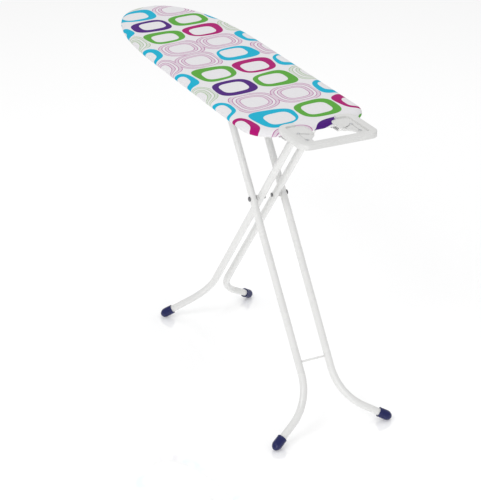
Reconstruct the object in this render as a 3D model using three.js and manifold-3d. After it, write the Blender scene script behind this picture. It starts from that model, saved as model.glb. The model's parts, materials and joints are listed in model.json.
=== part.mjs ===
// A folding ironing board. The padded top is carried by two pairs of steel legs that cross like
// scissors. The narrow inner pair hangs on a hinge pin near the tail of the board. The wide outer
// pair is riveted to the inner pair, and its top bar slides along two rails under the board.
// A spring-loaded brake strip presses on that bar and holds any height, and squeezing the release
// lever lifts the strip. A moulded iron rest stands past the tail edge on two steel straps.
//
// Millimetres, +Z up, +X from the nose to the tail, +Y across. Left is -Y and right is +Y.
// The finished group is moved so that the origin is the centre of its footprint, on the floor.

import * as THREE from 'three';
import { mergeVertices } from 'three/addons/utils/BufferGeometryUtils.js';
import Module from 'manifold-3d';

// ---- Driving dimensions ----------------------------------------------------------------------

const GAP = 0.3;               // air left between pieces that touch
const SHEET = 1.2;             // thickness of the pressed steel sheet

// Board outline
const BOARD_LENGTH = 1200;
const BOARD_HALF_WIDTH = 190;
const TAIL_X = 320;            // tail edge of the board
const NOSE_X = TAIL_X - BOARD_LENGTH;
const NOSE_TAPER = 490;        // length over which the nose widens to the full width
const NOSE_POWER = 2.27;       // bluntness of the nose along the board
const NOSE_ROUND = 2.41;       // bluntness of the nose across the board
const TAIL_RADIUS = 93;

// Heights of the board's layers
const TOP_Z = 931.5;           // ironing surface
const HEM_Z = 906.5;           // underside of the hem
const DECK_TOP_Z = 923;
const DECK_SHEET = 0.7;
const DECK_UNDER_Z = DECK_TOP_Z - DECK_SHEET;
const ROLL = 26;               // how far in from the edge the cover starts to roll over
const CLOTH = 1.2;             // cover cloth with its backing
const HEM_INSET = 36;          // the hem's free edge, in from the outline
const RIM_INSET = 17;
const RIM_FLANGE = 15;
const RIM_UNDER_Z = 909.2;
const RIM_SHEET = 1.5;

// Legs
const PIVOT_Z = 901.5;         // height of the hinge pin and of the sliding top bar
const HINGE_X = 268.4;         // hinge pin of the inner legs
const SLIDE_X = -183.4;        // top bar of the outer legs, standing
const FOOT_RADIUS = 13.5;
const INNER_FOOT_X = -405;     // where the leg's line meets the floor
const TUBE_RADIUS = 11;
const TUBE_WALL = 1.2;
const LEG_RISE = Math.atan2(PIVOT_Z, HINGE_X - INNER_FOOT_X);
const PIVOT_DOWN_LEG = (HINGE_X - SLIDE_X) / 2 / Math.cos(LEG_RISE);
const FOOT_DOWN_LEG = (PIVOT_Z - FOOT_RADIUS) / Math.sin(LEG_RISE);
const INNER_LEG = { topY: 25, lowY: 23.6, bendAt: 915, bendRadius: 170, splay: 50 };
const OUTER_LEG = { topY: 52.3, lowY: 49.8, bendAt: 922, bendRadius: 170, splay: 55 };
const CROSS_ROD_DOWN_LEG = 888;
const TOP_BAR_RADIUS = 6;
const TOP_BAR_HALF = 84;
const CROSS_ROD_RADIUS = 3;
const PIVOT_RIVET_RADIUS = 4;
const PLAY = 0.5;              // room left around the parts of the pivots

// Rails under the board
const RAIL_NOSE_X = -580;
const RAIL_TAIL_X = 280;
const RAIL_INNER_Y = 74;
const RAIL_OUTER_Y = 92;
const SHOE_RADIUS = 7.5;
const RAIL_ROOM = 2 * SHOE_RADIUS + 1;
const RAIL_TOP_Z = PIVOT_Z + RAIL_ROOM / 2 + SHEET;
const RAIL_BOTTOM_Z = PIVOT_Z - RAIL_ROOM / 2 - SHEET;
const MEMBER_WIDTH = 30;
const MEMBER_X = { nose: -560, middle: -110, tail: 185 };
const HINGE_PIN_RADIUS = 5;

// Release lever and brake
const LEVER_PIVOT_Y = 115;
const LEVER_Z = 914.1;
const LEVER_ROD_RADIUS = 3;
const LEVER_X = { tail: -160, nose: -515 };
const GRIP_Z = 898;
const BRAKE_HALF_WIDTH = 10;

// Iron rest
const REST_BACK_X = 308;
const REST_FRONT_X = 470;
const REST_HALF_WIDTH = 122;
const REST_TOP_Z = 943;
const REST_WALL = 17;          // height of the skirt
const REST_BAND = 22;          // width of the raised band
const REST_STEP = 6;           // webs lie this far below the band
const REST_PLATE = 3;
const STRAP_SHEET = 2.2;
const STRAP_Y = [76, 89.5];
const REST_SCREW_X = [374, 424];
const REST_SCREW_BORE = 2.4;
const REST_DRAIN = { x: 391, y: 53, radius: 4.5 };
const STRAP_X = { inRail: 190, bendLow: 314, bendHigh: 346, end: 436 };

// ---- Materials -------------------------------------------------------------------------------

function finish(color, roughness, metalness) {
  return new THREE.MeshStandardMaterial({ color, roughness, metalness });
}

const WHITE_PAINT = finish(0xe6e6e4, 0.3, 0.1);
const ZINC = finish(0xb9bcc0, 0.35, 0.9);
const DARK_STEEL = finish(0x4b4c50, 0.4, 0.8);
const GREY_PLASTIC = finish(0xd3d4d2, 0.45, 0);
const NAVY_PLASTIC = finish(0x2a2f59, 0.3, 0);
const BLACK_PLASTIC = finish(0x2a2a2c, 0.5, 0);
const FELT = finish(0xcfcabf, 0.95, 0);
const PRINTED_COTTON = finish(0xf0eef0, 0.85, 0);
const RUBBER = finish(0x2e2e30, 0.9, 0);

// ---- Solids: joining, cutting and placing ----------------------------------------------------

const wasm = await Module();
wasm.setup();

function toSolid(geometry) {
  const bare = geometry.clone();
  bare.deleteAttribute('normal');
  bare.deleteAttribute('uv');
  const merged = mergeVertices(bare, 1e-4);
  return new wasm.Manifold(new wasm.Mesh({
    numProp: 3,
    vertProperties: new Float32Array(merged.attributes.position.array),
    triVerts: new Uint32Array(merged.index.array),
  }));
}

function toGeometry(solid) {
  const mesh = solid.getMesh();
  const geometry = new THREE.BufferGeometry();
  geometry.setAttribute('position', new THREE.BufferAttribute(mesh.vertProperties, 3));
  geometry.setIndex(new THREE.BufferAttribute(mesh.triVerts, 1));
  geometry.computeVertexNormals();
  return geometry;
}

function cut(geometry, ...tools) {
  const rest = tools.reduce((body, tool) => body.subtract(toSolid(tool)), toSolid(geometry));
  return toGeometry(rest);
}

function join(geometry, ...others) {
  const sum = others.reduce((body, other) => body.add(toSolid(other)), toSolid(geometry));
  return toGeometry(sum);
}

function common(geometry, other) {
  return toGeometry(toSolid(geometry).intersect(toSolid(other)));
}

// A box given by its lowest and highest corners.
function block(low, high) {
  const size = high.map((value, axis) => value - low[axis]);
  const middle = high.map((value, axis) => (value + low[axis]) / 2);
  return new THREE.BoxGeometry(...size).translate(...middle);
}

// A round bar along Y, from one y to the other, with its axis at x and z.
function barAcross(radius, fromY, toY, x = 0, z = 0, sides = 16) {
  const bar = new THREE.CylinderGeometry(radius, radius, toY - fromY, sides);
  return bar.translate(x, (fromY + toY) / 2, z);
}

// A round bar along X.
function barAlong(radius, fromX, toX, y, z, sides = 12) {
  const bar = new THREE.CylinderGeometry(radius, radius, toX - fromX, sides);
  return bar.rotateZ(-Math.PI / 2).translate((fromX + toX) / 2, y, z);
}

// A round bar standing along Z.
function barUp(radius, fromZ, toZ, x, y, sides = 12) {
  const bar = new THREE.CylinderGeometry(radius, radius, toZ - fromZ, sides);
  return bar.rotateX(Math.PI / 2).translate(x, y, (fromZ + toZ) / 2);
}

// A ring or sleeve along Y: a tube with a wall between two radii.
function sleeveAcross(outer, inner, fromY, toY, x = 0, z = 0, sides = 16) {
  const profile = [[inner, fromY], [outer, fromY], [outer, toY], [inner, toY], [inner, fromY]];
  const sleeve = new THREE.LatheGeometry(profile.map(([r, y]) => new THREE.Vector2(r, y)), sides);
  return sleeve.translate(x, 0, z);
}

// A flat outline raised from one height to another.
function slab(shape, fromZ, toZ) {
  const geometry = new THREE.ExtrudeGeometry(shape, { depth: toZ - fromZ, bevelEnabled: false });
  return geometry.translate(0, 0, fromZ);
}

// A profile drawn in X and Z, given a thickness across the board.
function plateAcross(points, fromY, toY) {
  const shape = new THREE.Shape(points.map(([x, z]) => new THREE.Vector2(x, z)));
  const plate = new THREE.ExtrudeGeometry(shape, { depth: toY - fromY, bevelEnabled: false });
  return plate.rotateX(Math.PI / 2).translate(0, toY, 0);
}

// A profile drawn in Y and Z, run along the board.
function profileAlong(points, fromX, toX) {
  const shape = new THREE.Shape(points.map(([y, z]) => new THREE.Vector2(y, z)));
  const run = new THREE.ExtrudeGeometry(shape, { depth: toX - fromX, bevelEnabled: false });
  return run.rotateX(Math.PI / 2).rotateZ(Math.PI / 2).translate(fromX, 0, 0);
}

// The same solid on the other side of the board's centre plane.
function mirrored(geometry) {
  const copy = toGeometry(toSolid(geometry)).scale(1, -1, 1);
  const index = copy.index.array;
  for (let corner = 0; corner < index.length; corner += 3) {
    [index[corner], index[corner + 1]] = [index[corner + 1], index[corner]];
  }
  copy.computeVertexNormals();
  return copy;
}

// ---- Named pieces in groups ------------------------------------------------------------------

const board = new THREE.Group();
const lever = new THREE.Group();
const innerLeg = new THREE.Group();
const outerLeg = new THREE.Group();

function add(group, name, geometry, material) {
  const mesh = new THREE.Mesh(geometry, material);
  mesh.name = name;
  group.add(mesh);
  return mesh;
}

// Adds a piece drawn for the right side, and its twin on the left.
function addPair(group, name, geometry, material) {
  add(group, `${name}_right`, geometry, material);
  add(group, `${name}_left`, mirrored(geometry), material);
}

// ---- The board's outline ---------------------------------------------------------------------

// Half of the outline from the nose tip to the middle of the tail edge, as x, y and the outward
// normal. The nose is a blunt superellipse, and the tail corner is an arc.
function halfOutline() {
  const noseSteps = 16;
  const cornerSteps = 8;
  const points = [];
  for (let step = 0; step <= noseSteps; step += 1) {
    const along = 1 - Math.cos((step / noseSteps) * (Math.PI / 2));
    const fullness = 1 - (1 - along) ** NOSE_POWER;
    points.push(new THREE.Vector2(
      NOSE_X + along * NOSE_TAPER,
      BOARD_HALF_WIDTH * fullness ** (1 / NOSE_ROUND),
    ));
  }
  for (let step = 0; step <= cornerSteps; step += 1) {
    const turn = (step / cornerSteps) * (Math.PI / 2);
    points.push(new THREE.Vector2(
      TAIL_X - TAIL_RADIUS + TAIL_RADIUS * Math.sin(turn),
      BOARD_HALF_WIDTH - TAIL_RADIUS + TAIL_RADIUS * Math.cos(turn),
    ));
  }
  return points;
}

// The whole outline, anticlockwise, drawn in from the edge by an inset along its normals.
function boardShape(inset) {
  const right = halfOutline();
  const left = right.slice(1).map((point) => new THREE.Vector2(point.x, -point.y));
  const ring = [...left, ...right.reverse()];
  const shape = ring.map((point, index) => {
    const before = ring[(index + ring.length - 1) % ring.length];
    const after = ring[(index + 1) % ring.length];
    const edgeIn = point.clone().sub(before).normalize();
    const edgeOut = after.clone().sub(point).normalize();
    const inward = new THREE.Vector2(-edgeIn.y - edgeOut.y, edgeIn.x + edgeOut.x).normalize();
    return point.clone().addScaledVector(inward, inset);
  });
  return new THREE.Shape(shape);
}

// A pillow with the board's outline whose edge rolls over as a half ellipse.
function rolledBoard(inset, bottomZ, topZ, roll) {
  const half = (topZ - bottomZ) / 2 - 0.05;
  const pillow = new THREE.ExtrudeGeometry(boardShape(inset + roll), {
    depth: 0.1,
    bevelThickness: half,
    bevelSize: roll,
    bevelSegments: 3,
  });
  return pillow.translate(0, 0, bottomZ + half);
}

// ---- Top of the board: cover, pad, deck and rim ----------------------------------------------

function buildCover() {
  const outside = rolledBoard(0, HEM_Z, TOP_Z, ROLL);
  const inside = rolledBoard(CLOTH, HEM_Z + CLOTH, TOP_Z - CLOTH, ROLL - CLOTH);
  const mouth = slab(boardShape(HEM_INSET), HEM_Z - 5, DECK_UNDER_Z);
  return cut(outside, inside, mouth);
}

function buildPad() {
  const margin = CLOTH + GAP;
  const outside = rolledBoard(margin, HEM_Z + margin, TOP_Z - margin, ROLL - margin);
  const deckRoom = slab(boardShape(RIM_INSET - GAP), HEM_Z - 5, DECK_TOP_Z + GAP);
  const skirtEnd = slab(boardShape(-10), HEM_Z - 5, (HEM_Z + TOP_Z) / 2);
  return cut(outside, deckRoom, skirtEnd);
}

function buildRim() {
  const wall = slab(boardShape(RIM_INSET), RIM_UNDER_Z, DECK_UNDER_Z - GAP);
  const inner = boardShape(RIM_INSET + RIM_SHEET);
  const channel = slab(inner, RIM_UNDER_Z + RIM_SHEET, DECK_UNDER_Z + 5);
  const mouth = slab(boardShape(RIM_INSET + RIM_FLANGE), RIM_UNDER_Z - 5, DECK_UNDER_Z + 5);
  return cut(wall, channel, mouth);
}

add(board, 'cover', buildCover(), PRINTED_COTTON);
add(board, 'pad', buildPad(), FELT);
add(board, 'deck_plate', slab(boardShape(RIM_INSET), DECK_UNDER_Z, DECK_TOP_Z), WHITE_PAINT);
add(board, 'rim', buildRim(), WHITE_PAINT);

// ---- Under the board: cross members, rails and their rivets ----------------------------------

const MEMBER_BOTTOM_Z = RAIL_TOP_Z + GAP;
const RIVET_Y = (RAIL_INNER_Y + RAIL_OUTER_Y - SHEET) / 2;
const RIVET_RADIUS = 3;

// Channels that open upward and reach from rim to rim.
const insideRim = slab(boardShape(RIM_INSET + RIM_SHEET + GAP), RIM_UNDER_Z, DECK_UNDER_Z - GAP);
for (const [place, x] of Object.entries(MEMBER_X)) {
  const half = MEMBER_WIDTH / 2;
  const reach = BOARD_HALF_WIDTH;
  const body = block([x - half, -reach, MEMBER_BOTTOM_Z], [x + half, reach, DECK_TOP_Z]);
  const hollow = block(
    [x - half + SHEET, -reach - 1, MEMBER_BOTTOM_Z + SHEET],
    [x + half - SHEET, reach + 1, DECK_TOP_Z + 1],
  );
  const holes = [-RIVET_Y, RIVET_Y].map((y) => (
    barUp(RIVET_RADIUS + GAP, MEMBER_BOTTOM_Z - 1, MEMBER_BOTTOM_Z + SHEET + 1, x, y)
  ));
  add(board, `cross_member_${place}`, common(cut(body, hollow, ...holes), insideRim), WHITE_PAINT);
}

// C-shaped rails whose open side faces the legs. The shoes of the top bar run inside.
function buildRail() {
  const web = RAIL_OUTER_Y - SHEET;
  const rail = profileAlong([
    [RAIL_INNER_Y, RAIL_BOTTOM_Z], [RAIL_OUTER_Y, RAIL_BOTTOM_Z],
    [RAIL_OUTER_Y, RAIL_TOP_Z], [RAIL_INNER_Y, RAIL_TOP_Z],
    [RAIL_INNER_Y, RAIL_TOP_Z - SHEET], [web, RAIL_TOP_Z - SHEET],
    [web, RAIL_BOTTOM_Z + SHEET], [RAIL_INNER_Y, RAIL_BOTTOM_Z + SHEET],
  ], RAIL_NOSE_X, RAIL_TAIL_X);
  const pinHole = barAcross(HINGE_PIN_RADIUS + GAP, web - 2, RAIL_OUTER_Y + 2, HINGE_X, PIVOT_Z);
  const rivetHoles = Object.values(MEMBER_X).map((x) => (
    barUp(RIVET_RADIUS + GAP, RAIL_TOP_Z - SHEET - 1, RAIL_TOP_Z + 1, x, RIVET_Y)
  ));
  return cut(rail, pinHole, ...rivetHoles);
}

// The release lever dips through a slot in the left rail, past the end of the shoe's run.
const leverSlot = block(
  [LEVER_X.tail - 5, -RAIL_OUTER_Y - 1, GRIP_Z - 1],
  [LEVER_X.tail + 5, -RAIL_INNER_Y + 1, RAIL_TOP_Z + 1],
);
add(board, 'rail_right', buildRail(), ZINC);
add(board, 'rail_left', cut(mirrored(buildRail()), leverSlot), ZINC);

// A rivet's outline from its lower head, through the shank, to its upper head.
function buildRivet(x) {
  const head = 4.8;
  const headHeight = 1.5;
  const low = RAIL_TOP_Z - SHEET - GAP;
  const high = MEMBER_BOTTOM_Z + SHEET + GAP;
  const outline = [
    [0, low - headHeight], [head * 0.7, low - headHeight], [head, low],
    [RIVET_RADIUS, low], [RIVET_RADIUS, high], [head, high], [head, high + 1], [0, high + 1],
  ];
  const rivet = new THREE.LatheGeometry(outline.map(([r, z]) => new THREE.Vector2(r, z)), 9);
  return rivet.rotateX(Math.PI / 2).translate(x, RIVET_Y, 0);
}

for (const [place, x] of Object.entries(MEMBER_X)) {
  addPair(board, `rail_rivet_${place}`, buildRivet(x), ZINC);
}

// ---- Hinge of the inner legs -----------------------------------------------------------------

const SLEEVE_HALF = 38;
const SLEEVE_RADIUS = 11.5;

// A pin with a flat head outside the right rail. Its end stands 1 mm past the nut.
const HINGE_NUT_HEIGHT = 5;

function buildHingePin() {
  const headRadius = 8;
  const tip = -RAIL_OUTER_Y - HINGE_NUT_HEIGHT - 1;
  const shank = barAcross(HINGE_PIN_RADIUS, tip, RAIL_OUTER_Y + 1, HINGE_X, PIVOT_Z);
  const head = barAcross(headRadius, RAIL_OUTER_Y + GAP, RAIL_OUTER_Y + 3, HINGE_X, PIVOT_Z, 20);
  return join(shank, head);
}

add(board, 'hinge_pin', buildHingePin(), ZINC);

function buildHingeNut() {
  const hexRadius = 8.5;
  const bottom = -RAIL_OUTER_Y - HINGE_NUT_HEIGHT;
  const nut = barAcross(hexRadius, bottom, -RAIL_OUTER_Y - GAP, HINGE_X, PIVOT_Z, 6);
  const bore = barAcross(
    HINGE_PIN_RADIUS + GAP,
    bottom - 1,
    -RAIL_OUTER_Y + 1,
    HINGE_X,
    PIVOT_Z,
  );
  return cut(nut, bore);
}

add(board, 'hinge_pin_nut', buildHingeNut(), ZINC);
addPair(
  board,
  'hinge_spacer',
  sleeveAcross(8, HINGE_PIN_RADIUS + GAP, SLEEVE_HALF + 1, RAIL_INNER_Y - GAP, HINGE_X, PIVOT_Z),
  BLACK_PLASTIC,
);

// ---- Release lever, brake strip and spring ---------------------------------------------------

const EYE_RADIUS = 5;
const EYE_HALF = 5;
const LEVER_PIN_RADIUS = 2;
const GRIP_INNER_Y = -100;
const GRIP_OUTER_Y = -152;
const BRAKE_NOSE_X = LEVER_X.nose - 8;
const BRAKE_TAIL_X = LEVER_X.tail + 8;
const LINING_Z = PIVOT_Z + TOP_BAR_RADIUS + GAP;
const LINING = 1.5;
const BRAKE_TOP_Z = LEVER_Z + LEVER_ROD_RADIUS + 0.8;

// A rod from the pivot across the board. With a grip it dips through the left rail.
function buildLeverRod(x, points) {
  const route = new THREE.CurvePath();
  for (let index = 1; index < points.length; index += 1) {
    const [fromY, fromZ] = points[index - 1];
    const [toY, toZ] = points[index];
    const from = new THREE.Vector3(x, fromY, fromZ);
    route.add(new THREE.LineCurve3(from, new THREE.Vector3(x, toY, toZ)));
  }
  const section = new THREE.Shape().absarc(0, 0, LEVER_ROD_RADIUS, 0, Math.PI * 2);
  const rod = new THREE.ExtrudeGeometry(section, {
    steps: points.length > 2 ? 16 : 1,
    curveSegments: 4,
    extrudePath: route,
    bevelEnabled: false,
  });
  const eye = barAlong(EYE_RADIUS, x - EYE_HALF, x + EYE_HALF, LEVER_PIVOT_Y, LEVER_Z, 16);
  const bore = barAlong(LEVER_PIN_RADIUS + GAP, x - 9, x + 9, LEVER_PIVOT_Y, LEVER_Z);
  return cut(join(rod, eye), bore);
}

// A channel-shaped clip under the deck whose two ears hold the lever's pin.
function buildLeverBracket(x) {
  const ear = 1.6;
  const half = EYE_HALF + 0.5;
  const reach = 8;
  const drop = 6;
  const top = DECK_UNDER_Z - GAP;
  const body = block(
    [x - half - ear, LEVER_PIVOT_Y - reach, LEVER_Z - drop],
    [x + half + ear, LEVER_PIVOT_Y + reach, top],
  );
  const room = block(
    [x - half, LEVER_PIVOT_Y - reach - 1, LEVER_Z - drop - 1],
    [x + half, LEVER_PIVOT_Y + reach + 1, top - ear],
  );
  const bore = barAlong(LEVER_PIN_RADIUS + GAP, x - 12, x + 12, LEVER_PIVOT_Y, LEVER_Z);
  return cut(body, room, bore);
}

for (const [place, x] of Object.entries(LEVER_X)) {
  const pin = barAlong(LEVER_PIN_RADIUS, x - 9, x + 9, LEVER_PIVOT_Y, LEVER_Z);
  add(board, `lever_bracket_${place}`, buildLeverBracket(x), ZINC);
  add(board, `lever_pin_${place}`, pin, ZINC);
}

const GRIP_BORE_Z = GRIP_Z + 4;
add(lever, 'release_lever', buildLeverRod(LEVER_X.tail, [
  [LEVER_PIVOT_Y - 2, LEVER_Z], [-66, LEVER_Z], [-94, GRIP_BORE_Z], [GRIP_OUTER_Y + 6, GRIP_BORE_Z],
]), ZINC);
add(lever, 'brake_arm', buildLeverRod(LEVER_X.nose, [
  [LEVER_PIVOT_Y - 2, LEVER_Z], [-BRAKE_HALF_WIDTH - 3, LEVER_Z],
]), ZINC);

function buildBrakeStrip() {
  const strip = block(
    [BRAKE_NOSE_X, -BRAKE_HALF_WIDTH, LINING_Z + LINING + GAP],
    [BRAKE_TAIL_X, BRAKE_HALF_WIDTH, BRAKE_TOP_Z],
  );
  const bores = Object.values(LEVER_X).map((x) => (
    barAcross(LEVER_ROD_RADIUS + GAP, -BRAKE_HALF_WIDTH - 1, BRAKE_HALF_WIDTH + 1, x, LEVER_Z)
  ));
  return cut(strip, ...bores);
}

add(lever, 'brake_strip', buildBrakeStrip(), ZINC);
add(lever, 'brake_lining', block(
  [BRAKE_NOSE_X, -BRAKE_HALF_WIDTH, LINING_Z],
  [BRAKE_TAIL_X, BRAKE_HALF_WIDTH, LINING_Z + LINING],
), RUBBER);

// An oval handle with a blind bore for the lever's end.
function buildGrip() {
  const round = 3;
  const oval = new THREE.Shape().absellipse(0, 0, 13, 8, 0, Math.PI * 2);
  const handle = new THREE.ExtrudeGeometry(oval, {
    depth: GRIP_INNER_Y - GRIP_OUTER_Y - 2 * round,
    curveSegments: 9,
    bevelThickness: round,
    bevelSize: round,
    bevelOffset: -round,
    bevelSegments: 2,
  });
  handle.rotateX(Math.PI / 2).translate(LEVER_X.tail, GRIP_INNER_Y - round, GRIP_Z + 1);
  const bore = barAcross(
    LEVER_ROD_RADIUS + GAP,
    GRIP_OUTER_Y + 5,
    GRIP_INNER_Y + 1,
    LEVER_X.tail,
    GRIP_BORE_Z,
  );
  return cut(handle, bore);
}

add(lever, 'lever_grip', buildGrip(), NAVY_PLASTIC);

// A bowed leaf between the deck and the brake strip.
function buildLeafSpring() {
  const halfLength = 55;
  const thickness = 0.8;
  const low = BRAKE_TOP_Z + GAP;
  const bow = DECK_UNDER_Z - GAP - thickness - low;
  const centre = (LEVER_X.tail + LEVER_X.nose) / 2;
  const lower = [];
  for (let step = -8; step <= 8; step += 1) {
    const along = step / 8;
    lower.push([centre + along * halfLength, low + bow * (1 - along * along)]);
  }
  const upper = lower.map(([x, z]) => [x, z + thickness]).reverse();
  return plateAcross([...lower, ...upper], -6, 6);
}

add(board, 'brake_spring', buildLeafSpring(), DARK_STEEL);

// ---- Legs ------------------------------------------------------------------------------------

// A tube is drawn in equal steps of its parameter: two of them for the straight, one for the last
// short straight at the foot, and the rest for the bend.
const TUBE_STEPS = 13;
const STRAIGHT_SHARE = 2 / TUBE_STEPS;
const BEND_SHARE = (TUBE_STEPS - 1) / TUBE_STEPS;
const TUBE_END_TO_FOOT = 6;    // from the tube's end to the centre of the foot's round end

// Distance of a leg's centre line from the middle of the board, down the straight part.
function tubeY(leg, downLeg) {
  return leg.topY + ((leg.lowY - leg.topY) * downLeg) / leg.bendAt;
}

// In a leg's own frame +X runs down the leg from its upper axis, +Y is across and the leg's tubes
// lie in the plane of the two. The centre line runs straight, bends outward and ends at the foot.
class LegLine extends THREE.Curve {
  constructor(leg, startAt) {
    super();
    this.startAt = startAt;
    this.leg = leg;
    this.lean = Math.atan2(leg.lowY - leg.topY, leg.bendAt);
    this.splay = THREE.MathUtils.degToRad(leg.splay);
    this.centre = new THREE.Vector2(
      leg.bendAt - leg.bendRadius * Math.sin(this.lean),
      leg.lowY + leg.bendRadius * Math.cos(this.lean),
    );
    this.bendEnd = this.onBend(this.splay);
    this.run = (FOOT_DOWN_LEG - this.bendEnd.x) / Math.cos(this.splay) - TUBE_END_TO_FOOT;
  }

  onBend(turn) {
    const reach = new THREE.Vector3(Math.sin(turn), -Math.cos(turn), 0);
    const centre = new THREE.Vector3(this.centre.x, this.centre.y, 0);
    return centre.addScaledVector(reach, this.leg.bendRadius);
  }

  getPoint(t) {
    if (t < STRAIGHT_SHARE) {
      const down = THREE.MathUtils.lerp(this.startAt, this.leg.bendAt, t / STRAIGHT_SHARE);
      return new THREE.Vector3(down, tubeY(this.leg, down), 0);
    }
    if (t < BEND_SHARE) {
      const part = (t - STRAIGHT_SHARE) / (BEND_SHARE - STRAIGHT_SHARE);
      return this.onBend(THREE.MathUtils.lerp(this.lean, this.splay, part));
    }
    const along = ((t - BEND_SHARE) / (1 - BEND_SHARE)) * this.run;
    return this.bendEnd.clone().add(
      new THREE.Vector3(Math.cos(this.splay) * along, Math.sin(this.splay) * along, 0),
    );
  }

  // Steps follow t, so that the bend gets most of them.
  getPointAt(t) {
    return this.getPoint(t);
  }

  getTangentAt(t) {
    const step = 1e-3;
    const before = this.getPoint(Math.max(0, t - step));
    return this.getPoint(Math.min(1, t + step)).sub(before).normalize();
  }
}

function sweepTube(line) {
  const section = new THREE.Shape().absarc(0, 0, TUBE_RADIUS, 0, Math.PI * 2);
  section.holes.push(new THREE.Path().absarc(0, 0, TUBE_RADIUS - TUBE_WALL, 0, Math.PI * 2));
  return new THREE.ExtrudeGeometry(section, {
    steps: TUBE_STEPS,
    curveSegments: 6,
    extrudePath: line,
    bevelEnabled: false,
  });
}

// The hole for the pivot rivet, through both walls of a tube.
function pivotHole(leg) {
  return barAcross(PIVOT_RIVET_RADIUS + GAP, 0, leg.topY + 2 * TUBE_RADIUS, PIVOT_DOWN_LEG);
}

// The inner tube starts at the sleeve, which it is saddled to.
function buildInnerTube() {
  const tube = sweepTube(new LegLine(INNER_LEG, 3));
  const saddle = barAcross(SLEEVE_RADIUS + GAP, 0, SLEEVE_HALF + 10, 0, 0, 24);
  return cut(tube, saddle, pivotHole(INNER_LEG));
}

// The outer tube starts a little above the top bar that runs through it.
function buildOuterTube() {
  const tube = sweepTube(new LegLine(OUTER_LEG, -TUBE_RADIUS - 1));
  const barHole = barAcross(TOP_BAR_RADIUS + GAP, SLEEVE_HALF - 8, RAIL_INNER_Y, 0, 0, 20);
  return cut(tube, barHole, pivotHole(OUTER_LEG));
}

// A foot: a thimble over the tube's end with a round nose that stands on the floor.
function buildFoot(leg) {
  const line = new LegLine(leg, 0);
  const sleeveLength = 25;
  const bore = TUBE_RADIUS + GAP;
  const chamfer = 0.8;
  const outline = [
    [0, GAP], [bore, GAP], [bore, -sleeveLength], [FOOT_RADIUS - chamfer, -sleeveLength],
    [FOOT_RADIUS, chamfer - sleeveLength],
  ];
  const noseSteps = 5;
  for (let step = 0; step <= noseSteps; step += 1) {
    const turn = (step / noseSteps) * (Math.PI / 2);
    outline.push([FOOT_RADIUS * Math.cos(turn), TUBE_END_TO_FOOT + FOOT_RADIUS * Math.sin(turn)]);
  }
  outline[outline.length - 1][0] = 0;
  const foot = new THREE.LatheGeometry(outline.map(([r, y]) => new THREE.Vector2(r, y)), 14);
  const end = line.getPoint(1);
  return foot.rotateZ(line.splay - Math.PI / 2).translate(end.x, end.y, 0);
}

addPair(innerLeg, 'inner_tube', buildInnerTube(), WHITE_PAINT);
addPair(innerLeg, 'inner_foot', buildFoot(INNER_LEG), NAVY_PLASTIC);
add(
  innerLeg,
  'inner_top_sleeve',
  sleeveAcross(SLEEVE_RADIUS, HINGE_PIN_RADIUS + GAP, -SLEEVE_HALF, SLEEVE_HALF),
  WHITE_PAINT,
);

addPair(outerLeg, 'outer_tube', buildOuterTube(), WHITE_PAINT);
addPair(outerLeg, 'outer_foot', buildFoot(OUTER_LEG), NAVY_PLASTIC);
add(outerLeg, 'top_bar', barAcross(TOP_BAR_RADIUS, -TOP_BAR_HALF, TOP_BAR_HALF), ZINC);

// The cross rod is butted between the tubes just above their bend.
const CROSS_ROD_HALF = OUTER_LEG.lowY - TUBE_RADIUS - GAP;
add(
  outerLeg,
  'cross_rod',
  barAcross(CROSS_ROD_RADIUS, -CROSS_ROD_HALF, CROSS_ROD_HALF, CROSS_ROD_DOWN_LEG),
  WHITE_PAINT,
);

// A shoe caps each end of the top bar and slides inside a rail.
function buildShoe() {
  const bore = TOP_BAR_RADIUS + GAP;
  const floor = TOP_BAR_HALF + GAP;
  const mouth = RAIL_INNER_Y + 1;
  const end = RAIL_OUTER_Y - SHEET - 1;
  const chamfer = 1;
  const outline = [
    [0, floor], [bore, floor], [bore, mouth],
    [SHOE_RADIUS, mouth], [SHOE_RADIUS, end - chamfer], [SHOE_RADIUS - chamfer, end], [0, end],
  ];
  return new THREE.LatheGeometry(outline.map(([r, y]) => new THREE.Vector2(r, y)), 16);
}

addPair(outerLeg, 'slide_shoe', buildShoe(), BLACK_PLASTIC);

// The pivot: a rivet through an outer and an inner tube, and a washer between the tubes. The rivet
// has a small cone head inside and a domed head outside.
const INNER_TUBE_Y = tubeY(INNER_LEG, PIVOT_DOWN_LEG);
const OUTER_TUBE_Y = tubeY(OUTER_LEG, PIVOT_DOWN_LEG);

function buildPivotRivet() {
  const shank = PIVOT_RIVET_RADIUS;
  const cone = { seat: INNER_TUBE_Y - TUBE_RADIUS - PLAY, height: 2.5, radius: 6.8, tip: 5 };
  const dome = { seat: OUTER_TUBE_Y + TUBE_RADIUS + PLAY, height: 3.8, radius: 7.6, edge: 1.2 };
  const outline = [
    [0, cone.seat - cone.height], [cone.tip, cone.seat - cone.height], [cone.radius, cone.seat - 1.3],
    [cone.radius, cone.seat], [shank, cone.seat], [shank, dome.seat], [dome.radius, dome.seat],
    [dome.radius, dome.seat + dome.edge], [dome.radius * 0.8, dome.seat + dome.height * 0.78],
    [dome.radius * 0.4, dome.seat + dome.height * 0.97], [0, dome.seat + dome.height],
  ];
  const rivet = new THREE.LatheGeometry(outline.map(([r, y]) => new THREE.Vector2(r, y)), 14);
  return rivet.translate(PIVOT_DOWN_LEG, 0, 0);
}

addPair(innerLeg, 'pivot_rivet', buildPivotRivet(), DARK_STEEL);
addPair(
  innerLeg,
  'pivot_washer',
  sleeveAcross(
    9,
    PIVOT_RIVET_RADIUS + GAP,
    INNER_TUBE_Y + TUBE_RADIUS + PLAY,
    OUTER_TUBE_Y - TUBE_RADIUS - PLAY,
    PIVOT_DOWN_LEG,
  ),
  BLACK_PLASTIC,
);

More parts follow.
